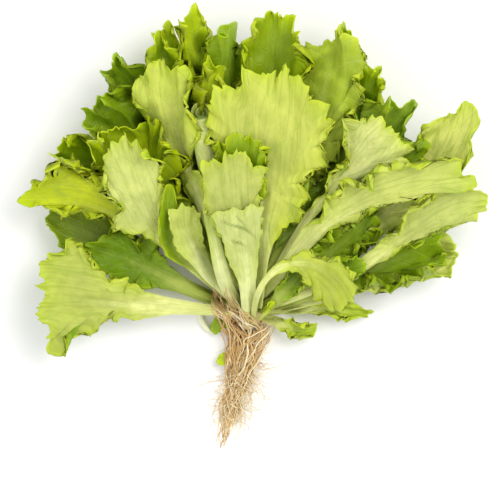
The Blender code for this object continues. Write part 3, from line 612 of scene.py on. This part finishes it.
def paint(sheet):
    """The colours of the two sides at each point."""
    face, other, margin, stalk = TONES[sheet.leaf.tone]
    if sheet.style.face is not None:
        face = srgb(*sheet.style.face)
    rng, along = sheet.rng, sheet.along
    x, y = along * sheet.length, sheet.across * sheet.width / 2
    off_spine = np.abs(sheet.across) * half_width(sheet.leaf, along, sheet.across)
    white_until = PALE_WHITE_TO if sheet.leaf.tone in (PALE, WHITE) else WHITE_TO
    foot = 1 - smooth(0.02, white_until, along + 0.05 * soft_noise(x, y, 11, rng))
    rib = np.exp(-(off_spine / (1.0 + 4.0 * (1 - along))) ** 2) * (1 - smooth(0.3, 0.95, along))
    whitening = np.clip(foot + 0.7 * rib, 0, 1)[..., None]
    uneven = 1 + 0.5 * soft_noise(x, y, 19, rng)
    thin, wide = (share * np.exp(-sheet.inset / reach) for share, reach in (THIN_EDGE, WIDE_EDGE))
    edge = thin + wide * sheet.style.glow * uneven
    edge = np.clip(edge * smooth(0.2, 0.5, along), 0, 1)[..., None]
    mottle = 1 + 0.12 * soft_noise(x, y, 22, rng) + 0.08 * soft_noise(x, y, 7, rng)
    # Painted shade along the cracks.
    crack = crack_share(sheet)[..., None]
    sides = []
    for colour in (face, other):
        made = (colour * (1 - whitening) + stalk * whitening) * mottle[..., None]
        made = made * (1 - edge) + margin * edge
        made = made * (1 - crack) + CRACK_SHADE * crack
        sides.append(np.clip(made, 0, 1))
    return sides


def grid_faces(rows, columns):
    """Corners of the quads of a grid of points, row by row."""
    i, j = np.meshgrid(np.arange(rows), np.arange(columns), indexing="ij")
    first = (i * (columns + 1) + j).ravel()
    return np.stack([first, first + 1, first + columns + 2, first + columns + 1], axis=1)


def ring_faces(rings, sides):
    """Corners of the quads between rings of points that close on themselves."""
    i, j = np.meshgrid(np.arange(rings), np.arange(sides), indexing="ij")
    first = (i * sides + j).ravel()
    second = (i * sides + (j + 1) % sides).ravel()
    return np.stack([first, second, second + sides, first + sides], axis=1)


def build_mesh(name, points, faces, slots=None):
    """A smooth mesh in metres, with no point under the floor."""
    points[:, 2] = np.maximum(points[:, 2], LOWEST)
    if slots is None:
        slots = np.zeros(len(faces))
    mesh = bpy.data.meshes.new(name)
    mesh.vertices.add(len(points))
    mesh.vertices.foreach_set("co", (points * MM).astype(np.float32).ravel())
    mesh.loops.add(faces.size)
    mesh.loops.foreach_set("vertex_index", faces.astype(np.int32).ravel())
    mesh.polygons.add(len(faces))
    mesh.polygons.foreach_set("loop_start", np.arange(0, faces.size, faces.shape[1], dtype=np.int32))
    mesh.polygons.foreach_set("material_index", slots.astype(np.int32))
    mesh.update(calc_edges=True)
    mesh.validate()
    mesh.shade_smooth()
    return mesh


def add_tint(mesh, colours):
    """Gives each point of a mesh the colour that its material reads."""
    opaque = np.ones((len(colours), 4))
    opaque[:, :3] = colours
    tint = mesh.color_attributes.new("tint", "FLOAT_COLOR", "POINT")
    tint.data.foreach_set("color", opaque.astype(np.float32).ravel())


def add_piece(name, mesh, materials, node):
    """Puts a mesh in the scene, in the place of a CAD node."""
    for material in materials:
        mesh.materials.append(material)
    piece = bpy.data.objects.new(name, mesh)
    bpy.context.scene.collection.objects.link(piece)
    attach(piece, "root")
    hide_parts(node)


def build_sheet(name, middle, half, sides, where, materials, node):
    """The closed solid of a sheet from the grid of its middle, with its two sides' colours."""
    rows, columns = middle.shape[0] - 1, middle.shape[1] - 1
    normal = unit(np.cross(np.gradient(middle, axis=1), np.gradient(middle, axis=0)))
    out = normal * half[..., None]
    count = (rows + 1) * (columns + 1)
    points = np.concatenate([(middle + out).reshape(-1, 3), (middle - out).reshape(-1, 3)])
    upper = grid_faces(rows, columns)
    lower = upper[:, ::-1] + count
    index = np.arange(count).reshape(rows + 1, columns + 1)
    loop = np.concatenate([index[0, :], index[1:, -1], index[-1, -2::-1], index[-2:0:-1, 0]])
    after = np.roll(loop, -1)
    rim = np.stack([after, loop, loop + count, after + count], axis=1)
    slots = np.concatenate([np.zeros(len(upper)), np.ones(len(lower)), np.zeros(len(rim))])
    mesh = build_mesh(name, points, np.concatenate([upper, lower, rim]), slots)
    add_tint(mesh, np.concatenate([side.reshape(-1, 3) for side in sides]))
    blade = mesh.attributes.new("blade", "FLOAT_VECTOR", "POINT")
    both = np.concatenate([where.reshape(-1, 3)] * 2)
    blade.data.foreach_set("vector", both.astype(np.float32).ravel())
    add_piece(name, mesh, materials, node)


def build_leaf(sheet, materials):
    """A leaf's sheet, with what its material reads: distances from spine and foot, and the share of blade."""
    leaf = sheet.leaf
    middle = np.concatenate([sheet.plan, sheet.height[..., None]], axis=-1)
    off_spine = sheet.across * half_width(leaf, sheet.along, sheet.across)
    where = np.stack([off_spine, sheet.along * sheet.length, sheet.on_blade], axis=-1)
    build_sheet(leaf.name + "_sheet", middle, sheet.half_thickness(), paint(sheet), where, materials,
                leaf.name)


class Nodes:
    """A new material and short ways to write its nodes."""

    def __init__(self, name):
        self.material = bpy.data.materials.new(name)
        self.material.use_nodes = True
        self.tree = self.material.node_tree
        self.shader = self.tree.nodes["Principled BSDF"]

    def new(self, kind, **settings):
        node = self.tree.nodes.new("ShaderNode" + kind)
        for key, value in settings.items():
            setattr(node, key, value)
        return node

    def put(self, socket, value):
        if isinstance(value, bpy.types.NodeSocket):
            self.tree.links.new(value, socket)
        else:
            socket.default_value = value

    def set_shader(self, **values):
        """Sets the shader's inputs, named with _ for a space."""
        for name, value in values.items():
            self.put(self.shader.inputs[name.replace("_", " ")], value)

    def attribute(self, name, output):
        return self.new("Attribute", attribute_name=name).outputs[output]

    def combined(self, *values):
        node = self.new("CombineXYZ")
        for socket, value in zip(node.inputs, values):
            self.put(socket, value)
        return node.outputs[0]

    def math(self, operation, *values):
        node = self.new("Math", operation=operation)
        for socket, value in zip(node.inputs, values):
            self.put(socket, value)
        return node.outputs[0]

    def plus(self, a, b):
        return self.math("ADD", a, b)

    def minus(self, a, b):
        return self.math("SUBTRACT", a, b)

    def times(self, a, b):
        return self.math("MULTIPLY", a, b)

    def mix(self, share, a, b, blend="MIX"):
        node = self.new("Mix", data_type="RGBA", blend_type=blend)
        self.put(node.inputs[0], share)
        for socket, value in ((node.inputs[6], a), (node.inputs[7], b)):
            if not isinstance(value, bpy.types.NodeSocket):
                value = (*value, 1.0)
            self.put(socket, value)
        return node.outputs[2]

    def noise(self, vector, scale, detail=3.0, roughness=0.5):
        node = self.new("TexNoise")
        values = {"Vector": vector, "Scale": scale, "Detail": detail, "Roughness": roughness}
        for name, value in values.items():
            self.put(node.inputs[name], value)
        return node.outputs["Fac"]

    def spread(self, value, low, high, to_low=0.0, to_high=1.0):
        node = self.new("MapRange", interpolation_type="SMOOTHSTEP")
        for socket, number in zip(node.inputs, (value, low, high, to_low, to_high)):
            self.put(socket, number)
        return node.outputs[0]

    def bump(self, height, strength, distance):
        node = self.new("Bump")
        for name, value in {"Height": height, "Strength": strength, "Distance": distance}.items():
            self.put(node.inputs[name], value)
        return node.outputs["Normal"]


VEIN_APART, VEIN_HALF, VEIN_SLANT, VEIN_WANDER = 6.5, 0.9, 1.1, 14.0
NET_CELLS_PER_MM = 0.24
# The fibres' own colour, and the painted shade in the thin ridges.
FIBRE_COLOUR, RIDGE_PAINTED_SHADE = (0.48, 0.58, 0.16), (0.36, 0.48, 0.07)
# The painted shade in the broad folds, and the random darker clouds of the leaf's own tone.
FOLD_PAINTED_SHADE, CLOUD_SHADE = (0.62, 0.72, 0.30), (0.30, 0.42, 0.04)


def leaf_material(name, roughness, vein_colour, vein_share):
    """A leaf's side: its painted tint with lateral veins, a net of small veins and fibres along the stalk."""
    made = Nodes(name)
    tint = made.attribute("tint", "Color")
    blade = made.attribute("blade", "Vector")
    split = made.new("SeparateXYZ")
    made.put(split.inputs[0], blade)
    across, along, on_blade = split.outputs
    # Lateral veins leave the spine at a slant, a little unevenly, with a net of small ones between them.
    wander = made.noise(blade, 0.06, 2.0)
    off = made.math("ABSOLUTE", across)
    slant = made.minus(along, made.times(off, VEIN_SLANT))
    slant = made.plus(slant, made.times(wander, VEIN_WANDER))
    saw = made.math("PINGPONG", slant, VEIN_APART)
    lateral = made.spread(saw, 0.0, VEIN_HALF, 1.0, 0.0)
    net = made.new("TexVoronoi", feature="DISTANCE_TO_EDGE")
    made.put(net.inputs["Vector"], blade)
    made.put(net.inputs["Scale"], NET_CELLS_PER_MM)
    small = made.spread(net.outputs["Distance"], 0.0, 0.09, 1.0, 0.0)
    # Fibres run along the stalk.
    fibre = made.noise(made.combined(made.times(across, 1.6), made.times(along, 0.05)), 1.0, 3.0)
    veins = made.times(made.math("MAXIMUM", lateral, made.times(small, 0.25)), on_blade)
    colour = made.mix(made.times(veins, vein_share), tint, vein_colour)
    off_blade = made.minus(1.0, on_blade)
    streak = made.spread(fibre, 0.35, 0.65, 0.0, 0.22)
    streak = made.times(streak, made.plus(made.times(off_blade, 0.8), 0.2))
    colour = made.mix(streak, colour, FIBRE_COLOUR)
    # Broad folds and thin ridges fan out from the foot: both are sunk in the bump and painted darker as
    # shade.
    ahead = made.plus(along, 12.0)
    fan = made.combined(made.times(made.math("ARCTAN2", across, ahead), 46.0), made.times(ahead, 0.035))
    fans = made.noise(fan, 1.0, 4.0, 0.65)
    ridges = made.math("ABSOLUTE", made.minus(made.noise(fan, 0.45, 2.0), 0.5))
    ridges = made.times(made.spread(ridges, 0.0, 0.022, 1.0, 0.0), on_blade)
    colour = made.mix(made.times(ridges, 0.4), colour, RIDGE_PAINTED_SHADE)
    colour = made.mix(made.spread(fans, 0.42, 0.72, 0.0, 0.5), colour, FOLD_PAINTED_SHADE, "MULTIPLY")
    cloud = made.noise(blade, 0.12, 4.0, 0.6)
    colour = made.mix(made.spread(cloud, 0.35, 0.7, 0.0, 0.22), colour, CLOUD_SHADE, "MULTIPLY")
    made.set_shader(Base_Color=colour, Roughness=roughness, Specular_IOR_Level=0.2, Subsurface_Weight=0.25,
                    Subsurface_Radius=(1.0, 1.4, 0.3), Subsurface_Scale=0.0012)
    grain = made.noise(blade, 1.2, 3.0)
    height = made.minus(made.times(grain, 0.25), made.times(veins, 0.6))
    height = made.plus(height, made.times(made.times(fibre, off_blade), 0.8))
    height = made.minus(height, made.times(fans, 1.2))
    height = made.minus(height, made.times(ridges, 0.5))
    made.set_shader(Normal=made.bump(height, 0.55, 0.0006))
    return made.material


def skin_material(name, colours, scale, roughness, bump):
    """The skin of the crown or the side stem: three colours in clouds and patches, with a fine grain."""
    made = Nodes(name)
    place = made.new("TexCoord").outputs["Object"]
    cloud = made.noise(place, scale, 5.0, 0.65)
    colour = made.mix(made.spread(cloud, 0.3, 0.7), colours[0], colours[1])
    patch = made.noise(place, scale * 0.25, 3.0)
    colour = made.mix(made.spread(patch, 0.45, 0.7), colour, colours[2])
    made.set_shader(Base_Color=colour, Roughness=roughness, Specular_IOR_Level=0.3)
    made.set_shader(Normal=made.bump(made.noise(place, scale * 3, 4.0), bump, 0.0005))
    return made.material


def root_material():
    """A root's skin: each strand's own brown, clouded and grained."""
    made = Nodes("root_skin")
    place = made.new("TexCoord").outputs["Object"]
    tint = made.attribute("tint", "Color")
    cloud = made.noise(place, 240, 5.0, 0.65)
    colour = made.mix(made.spread(cloud, 0.4, 0.8, 0.0, 0.5), tint, ROOT_DARK)
    made.set_shader(Base_Color=colour, Roughness=0.75, Specular_IOR_Level=0.2)
    made.set_shader(Normal=made.bump(made.noise(place, 900, 4.0), 0.5, 0.0003))
    return made.material


def rings_round(path, radii, sides):
    """Rings of points round a path."""
    ahead = unit(np.gradient(path, axis=0))
    side = unit(np.cross(ahead, np.array([0.01, 0.01, 1.01])))
    over = np.cross(side, ahead)
    turn = np.linspace(0, TURN, sides, endpoint=False)
    ring = side[:, None] * np.cos(turn)[None, :, None] + over[:, None] * np.sin(turn)[None, :, None]
    return path[:, None] + ring * radii[:, None, None]


def closed_tube(path, radii, sides):
    """Points and quads of a tube whose ends are closed by fans of quads."""
    count = len(path)
    caps = []
    for ring in (0, count - 1):
        corners = np.arange(sides) + ring * sides
        for k in range(1, sides - 1, 2):
            quad = corners[[0, k, k + 1, min(k + 2, sides - 1)]]
            caps.append(quad if ring else quad[::-1])
    faces = np.concatenate([ring_faces(count - 1, sides), np.array(caps)])
    return rings_round(path, radii, sides).reshape(-1, 3), faces


# The roots, as in the CAD part: their number and sizes, the share of the crown's width that they start from,
# how they bend and wave, how unlike their lengths are, where they land, and where they end and how far apart.
ROOT_COUNT = 8
ROOT_LENGTH, ROOT_THICKNESS, ROOT_TIP = 76.0, 2.2, 0.9
ROOT_ROW, ROOT_BEND, ROOT_WAVE, ROOT_STAGGER, ROOT_LANDS = 0.93, 1.7, 1.5, 0.06, 0.4
ROOT_END_X, ROOT_END_STEP = -18.0, 1.9
JOIN_GAP = 0.5
# Each of them is shown as a bundle of finer strands and hairs.
STRANDS_EACH, STRAND_POINTS, STRAND_SIDES = 13, 60, 8
HAIRS_EACH, HAIR_POINTS, HAIR_SIDES = 26, 26, 5
BUNDLE_END_X, BUNDLE_END_Y = -18.5, -90.0  # where the bundle comes to its point
BUNDLE_HALF, BUNDLE_TIP_HALF = 15.0, 1.5
MOST_SAG = 1.0  # by which a strand may dip between the things that it rests on
ROOT_TAN, ROOT_LIGHT, ROOT_DARK = srgb(224, 194, 138), srgb(244, 230, 192), srgb(202, 166, 108)


def root_path(k):
    """The line of one of the CAD part's roots and its radii, from the crown."""
    share = np.linspace(0, 1, STRAND_POINTS)
    side = ROOT_ROW * (2 * k / (ROOT_COUNT - 1) - 1)
    clear = JOIN_GAP + ROOT_THICKNESS / 2
    start_x = side * (CROWN_SIZE[0] / 2 + clear)
    start_y = -math.sqrt(1 - side * side) * (CROWN_SIZE[1] / 2 + clear)
    end_x = ROOT_END_X + ROOT_END_STEP * (k - (ROOT_COUNT - 1) / 2)
    end_y = -CROWN_SIZE[1] / 2 - ROOT_LENGTH * (1 - ROOT_STAGGER * (k % 3))
    y = start_y + (end_y - start_y) * share
    down = np.clip((-y - CROWN_SIZE[1] / 2) / ROOT_LENGTH, 0, 1)
    x = start_x + (end_x - start_x) * down**ROOT_BEND + ROOT_WAVE * np.sin(5.0 * down)
    radii = ROOT_THICKNESS / 2 + (ROOT_TIP - ROOT_THICKNESS) / 2 * down**0.7
    sag = (1 - np.clip(down / ROOT_LANDS, 0, 1)) ** 2
    z = radii + (CROWN_SIZE[2] / 2 - radii) * sag
    return np.column_stack([x, y, z]), radii


def wiggled(path, size, wavelength, rng):
    """A path that wanders to its sides and up and down, more and more over its first 6 mm."""
    length = np.concatenate([[0], np.cumsum(np.linalg.norm(np.diff(path, axis=0), axis=1))])
    made = path.copy()
    grow = np.clip(length / 6, 0, 1)
    for axis, share in ((0, 1.0), (1, 0.4), (2, 0.5)):
        for octave in (1.0, 0.47):
            phase = TURN * length / (wavelength * octave) + rng.uniform(0, 6.28)
            made[:, axis] += size * octave * share * grow * np.sin(phase)
    return made


class Ground:
    """How high the laid pile and the crown stand over each spot of the floor."""

    def __init__(self, origin, top):
        self.origin, self.top = origin, top

    def under(self, plan):
        offset = (plan - CROWN[:2]) / (CROWN_SIZE[:2] / 2)
        bulge = np.sqrt(np.clip(1 - (offset**2).sum(axis=1), 0, 1))
        pile = self.top[tuple(cells_of(self.top, self.origin, plan))]
        return np.maximum(pile, bulge * (CROWN[2] + CROWN_SIZE[2] / 2))

    def lay(self, line, size, lift):
        """Rests a line of a bundle on what lies under it, or as high as its lift."""
        line[:, :2] += CROWN[:2]
        under = self.under(line[:, :2])
        rest = running_mean(np.maximum(under, lift), 3)
        line[:, 2] = np.maximum(rest, under - MOST_SAG) + size
        return line


class Tubes:
    """Closed tubes gathered into one mesh, each with its own colour."""

    def __init__(self):
        self.points, self.faces, self.shades, self.count = [], [], [], 0

    def add(self, line, size, sides, shade):
        line[:, 2] = np.maximum(line[:, 2], size + 0.05)
        points, faces = closed_tube(line, size, sides)
        self.points.append(points)
        self.faces.append(faces + self.count)
        self.shades.append(np.tile(shade, (len(points), 1)))
        self.count += len(points)

    def build(self, name):
        mesh = build_mesh(name, np.concatenate(self.points), np.concatenate(self.faces))
        add_tint(mesh, np.concatenate(self.shades))
        return mesh


def bundle_line(start, stop_share, lean, rng):
    """A strand that runs from its start into the bundle and down it, crossing its neighbours."""
    share = np.linspace(0, 1, STRAND_POINTS)
    y = start[1] + (BUNDLE_END_Y * stop_share - start[1]) * share
    down = np.clip(y / BUNDLE_END_Y, 0, 1)
    half = BUNDLE_HALF + (BUNDLE_TIP_HALF - BUNDLE_HALF) * down**0.7
    swing = lean + 0.5 * np.sin(down * rng.uniform(3, 7) + rng.uniform(0, 6))
    middle = BUNDLE_END_X * down**1.4 + swing * half
    x = start[0] + (middle - start[0]) * smooth(0.0, 0.5, share)
    return np.column_stack([x, y, 0 * y])


def add_strand(tubes, ground, high, rng):
    """A fine strand of the bundle. A high one starts on the stalks, the others beside the crown."""
    start = (rng.uniform(-17, 19), rng.uniform(-13, -4))
    if high:
        start = (rng.uniform(-25, -9), rng.uniform(2, 20))
    stop_share = rng.choice((0.45, 0.6, 1.0)) * rng.uniform(0.75, 1.0)
    line = bundle_line(start, stop_share, rng.uniform(-0.9, 0.9), rng)
    line = wiggled(line, rng.uniform(0.5, 1.4), rng.uniform(18, 40), rng)
    share = np.linspace(0, 1, STRAND_POINTS)
    size = rng.uniform(0.25, 0.75) * (1 - 0.7 * share) * (0.25 + 0.75 * smooth(0.0, 0.25, share))
    lift = rng.uniform(0.5, 11) * (1 - smooth(0.2, 1.0, -line[:, 1] / 80)) + 0.3
    shade = (ROOT_TAN, ROOT_LIGHT, ROOT_DARK)[rng.integers(0, 3)]
    tubes.add(ground.lay(line, size, lift), size, STRAND_SIDES, shade)


def add_hair(tubes, ground, rng):
    """A hair that leaves a strand and curls away from the bundle."""
    steps = np.linspace(0, 1, HAIR_POINTS)
    trunk = bundle_line((0.0, -8.0), 1.0, rng.uniform(-1.0, 1.0), rng)
    start = trunk[rng.integers(1, 40)]
    heading = -math.pi / 2 + rng.normal(0, 0.55)
    turn = heading + rng.normal(0, 1.3) * steps
    step = rng.uniform(9, 30) / len(steps)
    x = start[0] + np.cumsum(np.cos(turn)) * step
    y = start[1] + np.cumsum(np.sin(turn)) * step
    line = wiggled(np.column_stack([x, y, 0 * x]), 0.7, rng.uniform(6, 14), rng)
    size = np.linspace(0.24, 0.08, HAIR_POINTS) * rng.uniform(0.8, 1.5)
    lift = rng.uniform(0.5, 9) * (1 - steps) + 0.2
    shade = ROOT_LIGHT if rng.random() < 0.6 else ROOT_TAN
    tubes.add(ground.lay(line, size, lift), size, HAIR_SIDES, shade)


def build_root(k, material, ground):
    """One of the CAD part's roots, as strands that cross and twine and the hairs that leave them."""
    rng = np.random.default_rng(100 + k)
    tubes = Tubes()
    path, radii = root_path(k)
    path[:, :2] += CROWN[:2]
    share = np.linspace(0, 1, STRAND_POINTS)
    path[:, 0] += (CROWN[0] + BUNDLE_END_X - path[:, 0]) * 0.7 * share**2
    path = wiggled(path, 1.0, 30, rng)
    tubes.add(path, radii * rng.uniform(0.5, 0.8) * (1 - 0.6 * share), 10, ROOT_TAN)
    for n in range(STRANDS_EACH):
        add_strand(tubes, ground, n % 3 == 0, rng)
    for _ in range(HAIRS_EACH):
        add_hair(tubes, ground, rng)
    name = f"root_{k + 1}_strands"
    add_piece(name, tubes.build(name), [material], f"root_{k + 1}")


CROWN_RINGS, CROWN_SIDES = 40, 48


def build_crown(material):
    """The short stem: a knob with leaf scars round it."""
    polar = np.linspace(0, math.pi, CROWN_RINGS + 1)[:, None]
    turn = np.linspace(0, TURN, CROWN_SIDES, endpoint=False)[None, :]
    ridge = 1 + 0.05 * np.sin(polar * 9 + np.sin(turn * 2)) + 0.03 * np.sin(turn * 7 + polar * 3)
    body = np.stack([
        np.sin(polar) * np.cos(turn) * ridge * CROWN_SIZE[0] / 2,
        np.cos(polar) * CROWN_SIZE[1] / 2 + 0 * turn,
        np.sin(polar) * np.sin(turn) * ridge * CROWN_SIZE[2] / 2,
    ], axis=-1)
    points = body.reshape(-1, 3) * 0.98 + CROWN
    faces = ring_faces(CROWN_RINGS, CROWN_SIDES)[:, [0, 3, 2, 1]]
    add_piece("crown_knob", build_mesh("crown_knob", points, faces), [material], "crown")


# Four points along a round piece: x, y, height, and the share of the full radius.
SIDE_STEM = [(-30, 8, 3, 1.0), (-32, 0, 3, 1.0), (-29, -8, 3, 0.9), (-22, -13, 3, 0.6)]
ROLLED_LEAF = [(-14, 40, 5, 0.35), (-19, 70, 7, 0.6), (-25, 102, 11, 1.0), (-31, 133, 16, 1.0)]
STEM_THICKNESS, ROLL_THICKNESS = 4.0, 16.0
ROLL_TURNS, ROLL_START = 2.6, -0.6  # how often the sheet is wound, and the angle that it starts at
ROLL_ROWS, ROLL_COLUMNS = 70, 130
MOUTH_SLANT = 0.8  # how obliquely the roll's mouth is cut, open to the top
MOUTH_STEP = 2.5  # by which the innermost turn ends before the outermost


def round_line(table, thickness, count):
    """A smooth line and its radii from four points of such a table."""
    made = curve_through(table, np.linspace(0, 1, count))
    line = made[:, :3].copy()
    line[:, :2] = line[:, :2] * STRETCH + CROWN[:2]
    return line, made[:, 3] * thickness / 2


def build_side_stem(material):
    line, radii = round_line(SIDE_STEM, STEM_THICKNESS, 40)
    low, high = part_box("side_stem")
    line[:, 2] += (low.z + high.z) / 2 / MM - line[:, 2].mean()
    mesh = build_mesh("side_stem_skin", *closed_tube(line, radii, 16))
    add_piece("side_stem_skin", mesh, [material], "side_stem")


def build_roll(materials):
    """The rolled leaf: a sheet wound into a narrow scroll that widens to an open mouth."""
    line, radii = round_line(ROLLED_LEAF, ROLL_THICKNESS, ROLL_ROWS)
    line[:, 2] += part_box("rolled_leaf")[1].z / MM - (line[:, 2] + radii).max()
    wound = np.linspace(0, 1, ROLL_COLUMNS)
    reach = np.linspace(0, 1, ROLL_ROWS)[:, None]
    angle = TURN * ROLL_TURNS * wound + ROLL_START
    ahead = unit(np.gradient(line, axis=0))
    side = unit(np.cross(ahead, [0, 0, 1.0]))
    over = np.cross(side, ahead)
    share = (0.2 + 0.8 * wound) * (1 + 0.04 * np.sin(3 * angle))
    radius = radii[:, None] * share[None, :] * (1 + 0.05 * np.sin(14 * reach + 2 * angle[None, :]))
    cut_back = (radius * np.sin(angle) * MOUTH_SLANT + (1 - wound) * MOUTH_STEP) * smooth(0.6, 1.0, reach)
    middle = (line[:, None] + side[:, None] * (radius * np.cos(angle))[..., None]
              + over[:, None] * (radius * np.sin(angle))[..., None] - ahead[:, None] * cut_back[..., None])
    # Painted shade: the inner turns of the scroll are darker the deeper they lie, and the stretch by its foot
    # is darker too.
    light = (0.35 + 0.65 * smooth(0.5, 0.75, wound)) * (1 - 0.3 * smooth(0.0, 0.3, 0.3 - reach))
    light = light[..., None]
    outer = srgb(212, 218, 124) * light + srgb(170, 190, 60) * (1 - light)
    inner = srgb(206, 214, 130) * light + srgb(90, 130, 12) * (1 - light)
    where = np.stack([radius * angle, reach * 100 + 0 * radius, 0.4 + 0 * radius], axis=-1)
    half = np.full(radius.shape, BLADE / 2)
    build_sheet("rolled_leaf_sheet", middle, half, (outer, inner), where, materials,
                "rolled_leaf")


CAMERA_AIM = (1.3, 46.8, 45)  # the middle of the picture, from the crown, and the pile's mean height
VIEW_WIDTH = 325  # of what the camera sees at that height
LENS, SENSOR = 200, 36
FLOOR_HALF = 3.0  # metres
LIGHT_TARGET = (0, 0.02, 0)


def add_object(name, data):
    made = bpy.data.objects.new(name, data)
    bpy.context.scene.collection.objects.link(made)
    return made


def add_camera():
    """Looks straight down on the head from above its middle."""
    data = bpy.data.cameras.new("camera")
    data.sensor_width = SENSOR
    data.lens = LENS
    data.clip_end = 20
    camera = add_object("camera", data)
    distance = VIEW_WIDTH * MM * LENS / SENSOR
    x, y, mean_height = CAMERA_AIM
    camera.location = ((CROWN[0] + x) * MM, (CROWN[1] + y) * MM, mean_height * MM + distance)
    bpy.context.scene.camera = camera


def add_area(name, place, size, power, colour):
    """A round soft light in metres and watts, turned to the head."""
    data = bpy.data.lights.new(name, "AREA")
    data.shape = "DISK"
    data.size = size
    data.energy = power
    data.color = colour
    lamp = add_object(name, data)
    lamp.location = place
    lamp.rotation_euler = (Vector(LIGHT_TARGET) - Vector(place)).to_track_quat("-Z", "Y").to_euler()


def add_studio():
    """A pale floor, an even pale sky, and a soft key light from the upper right."""
    scene = bpy.context.scene
    world = bpy.data.worlds.new("studio")
    world.use_nodes = True
    sky = world.node_tree.nodes["Background"]
    sky.inputs["Color"].default_value = (1.0, 1.0, 1.0, 1.0)
    sky.inputs["Strength"].default_value = 0.90
    scene.world = world
    scene.view_settings.view_transform = "Standard"
    add_area("key", (0.75, 0.5, 1.5), 1.1, 15, (1.0, 0.98, 0.94))
    add_area("fill", (-0.9, -0.6, 1.2), 0.9, 3, (0.96, 0.98, 1.0))
    mesh = bpy.data.meshes.new("floor")
    corners = [(x * FLOOR_HALF, y * FLOOR_HALF, 0) for x, y in ((-1, -1), (1, -1), (1, 1), (-1, 1))]
    mesh.from_pydata(corners, [], [(0, 1, 2, 3)])
    made = Nodes("floor")
    made.set_shader(Base_Color=(0.93, 0.93, 0.93, 1), Roughness=0.9)
    mesh.materials.append(made.material)
    add_object("floor", mesh)


def main():
    sheets = [Sheet(leaf, index) for index, leaf in enumerate(LEAVES)]
    ground = Ground(*press(sheets))
    matt = leaf_material("leaf_matt_side", 0.55, (0.50, 0.60, 0.16), 0.28)
    gloss = leaf_material("leaf_gloss_side", 0.38, (0.40, 0.54, 0.10), 0.25)
    for sheet in sheets:
        shows_matt = sheet.leaf.tone in (PALE, WHITE)
        build_leaf(sheet, (matt, gloss) if shows_matt else (gloss, matt))
    root_skin = root_material()
    crown_colours = srgb(214, 196, 140), srgb(190, 160, 104), srgb(226, 220, 176)
    stem_colours = srgb(244, 242, 214), srgb(226, 228, 176), srgb(248, 246, 232)
    crown_skin = skin_material("crown_skin", crown_colours, 180, 0.65, 0.5)
    stem_skin = skin_material("stem_skin", stem_colours, 120, 0.5, 0.3)
    for k in range(ROOT_COUNT):
        build_root(k, root_skin, ground)
    build_crown(crown_skin)
    build_side_stem(stem_skin)
    build_roll((matt, matt))
    add_camera()
    add_studio()


main()
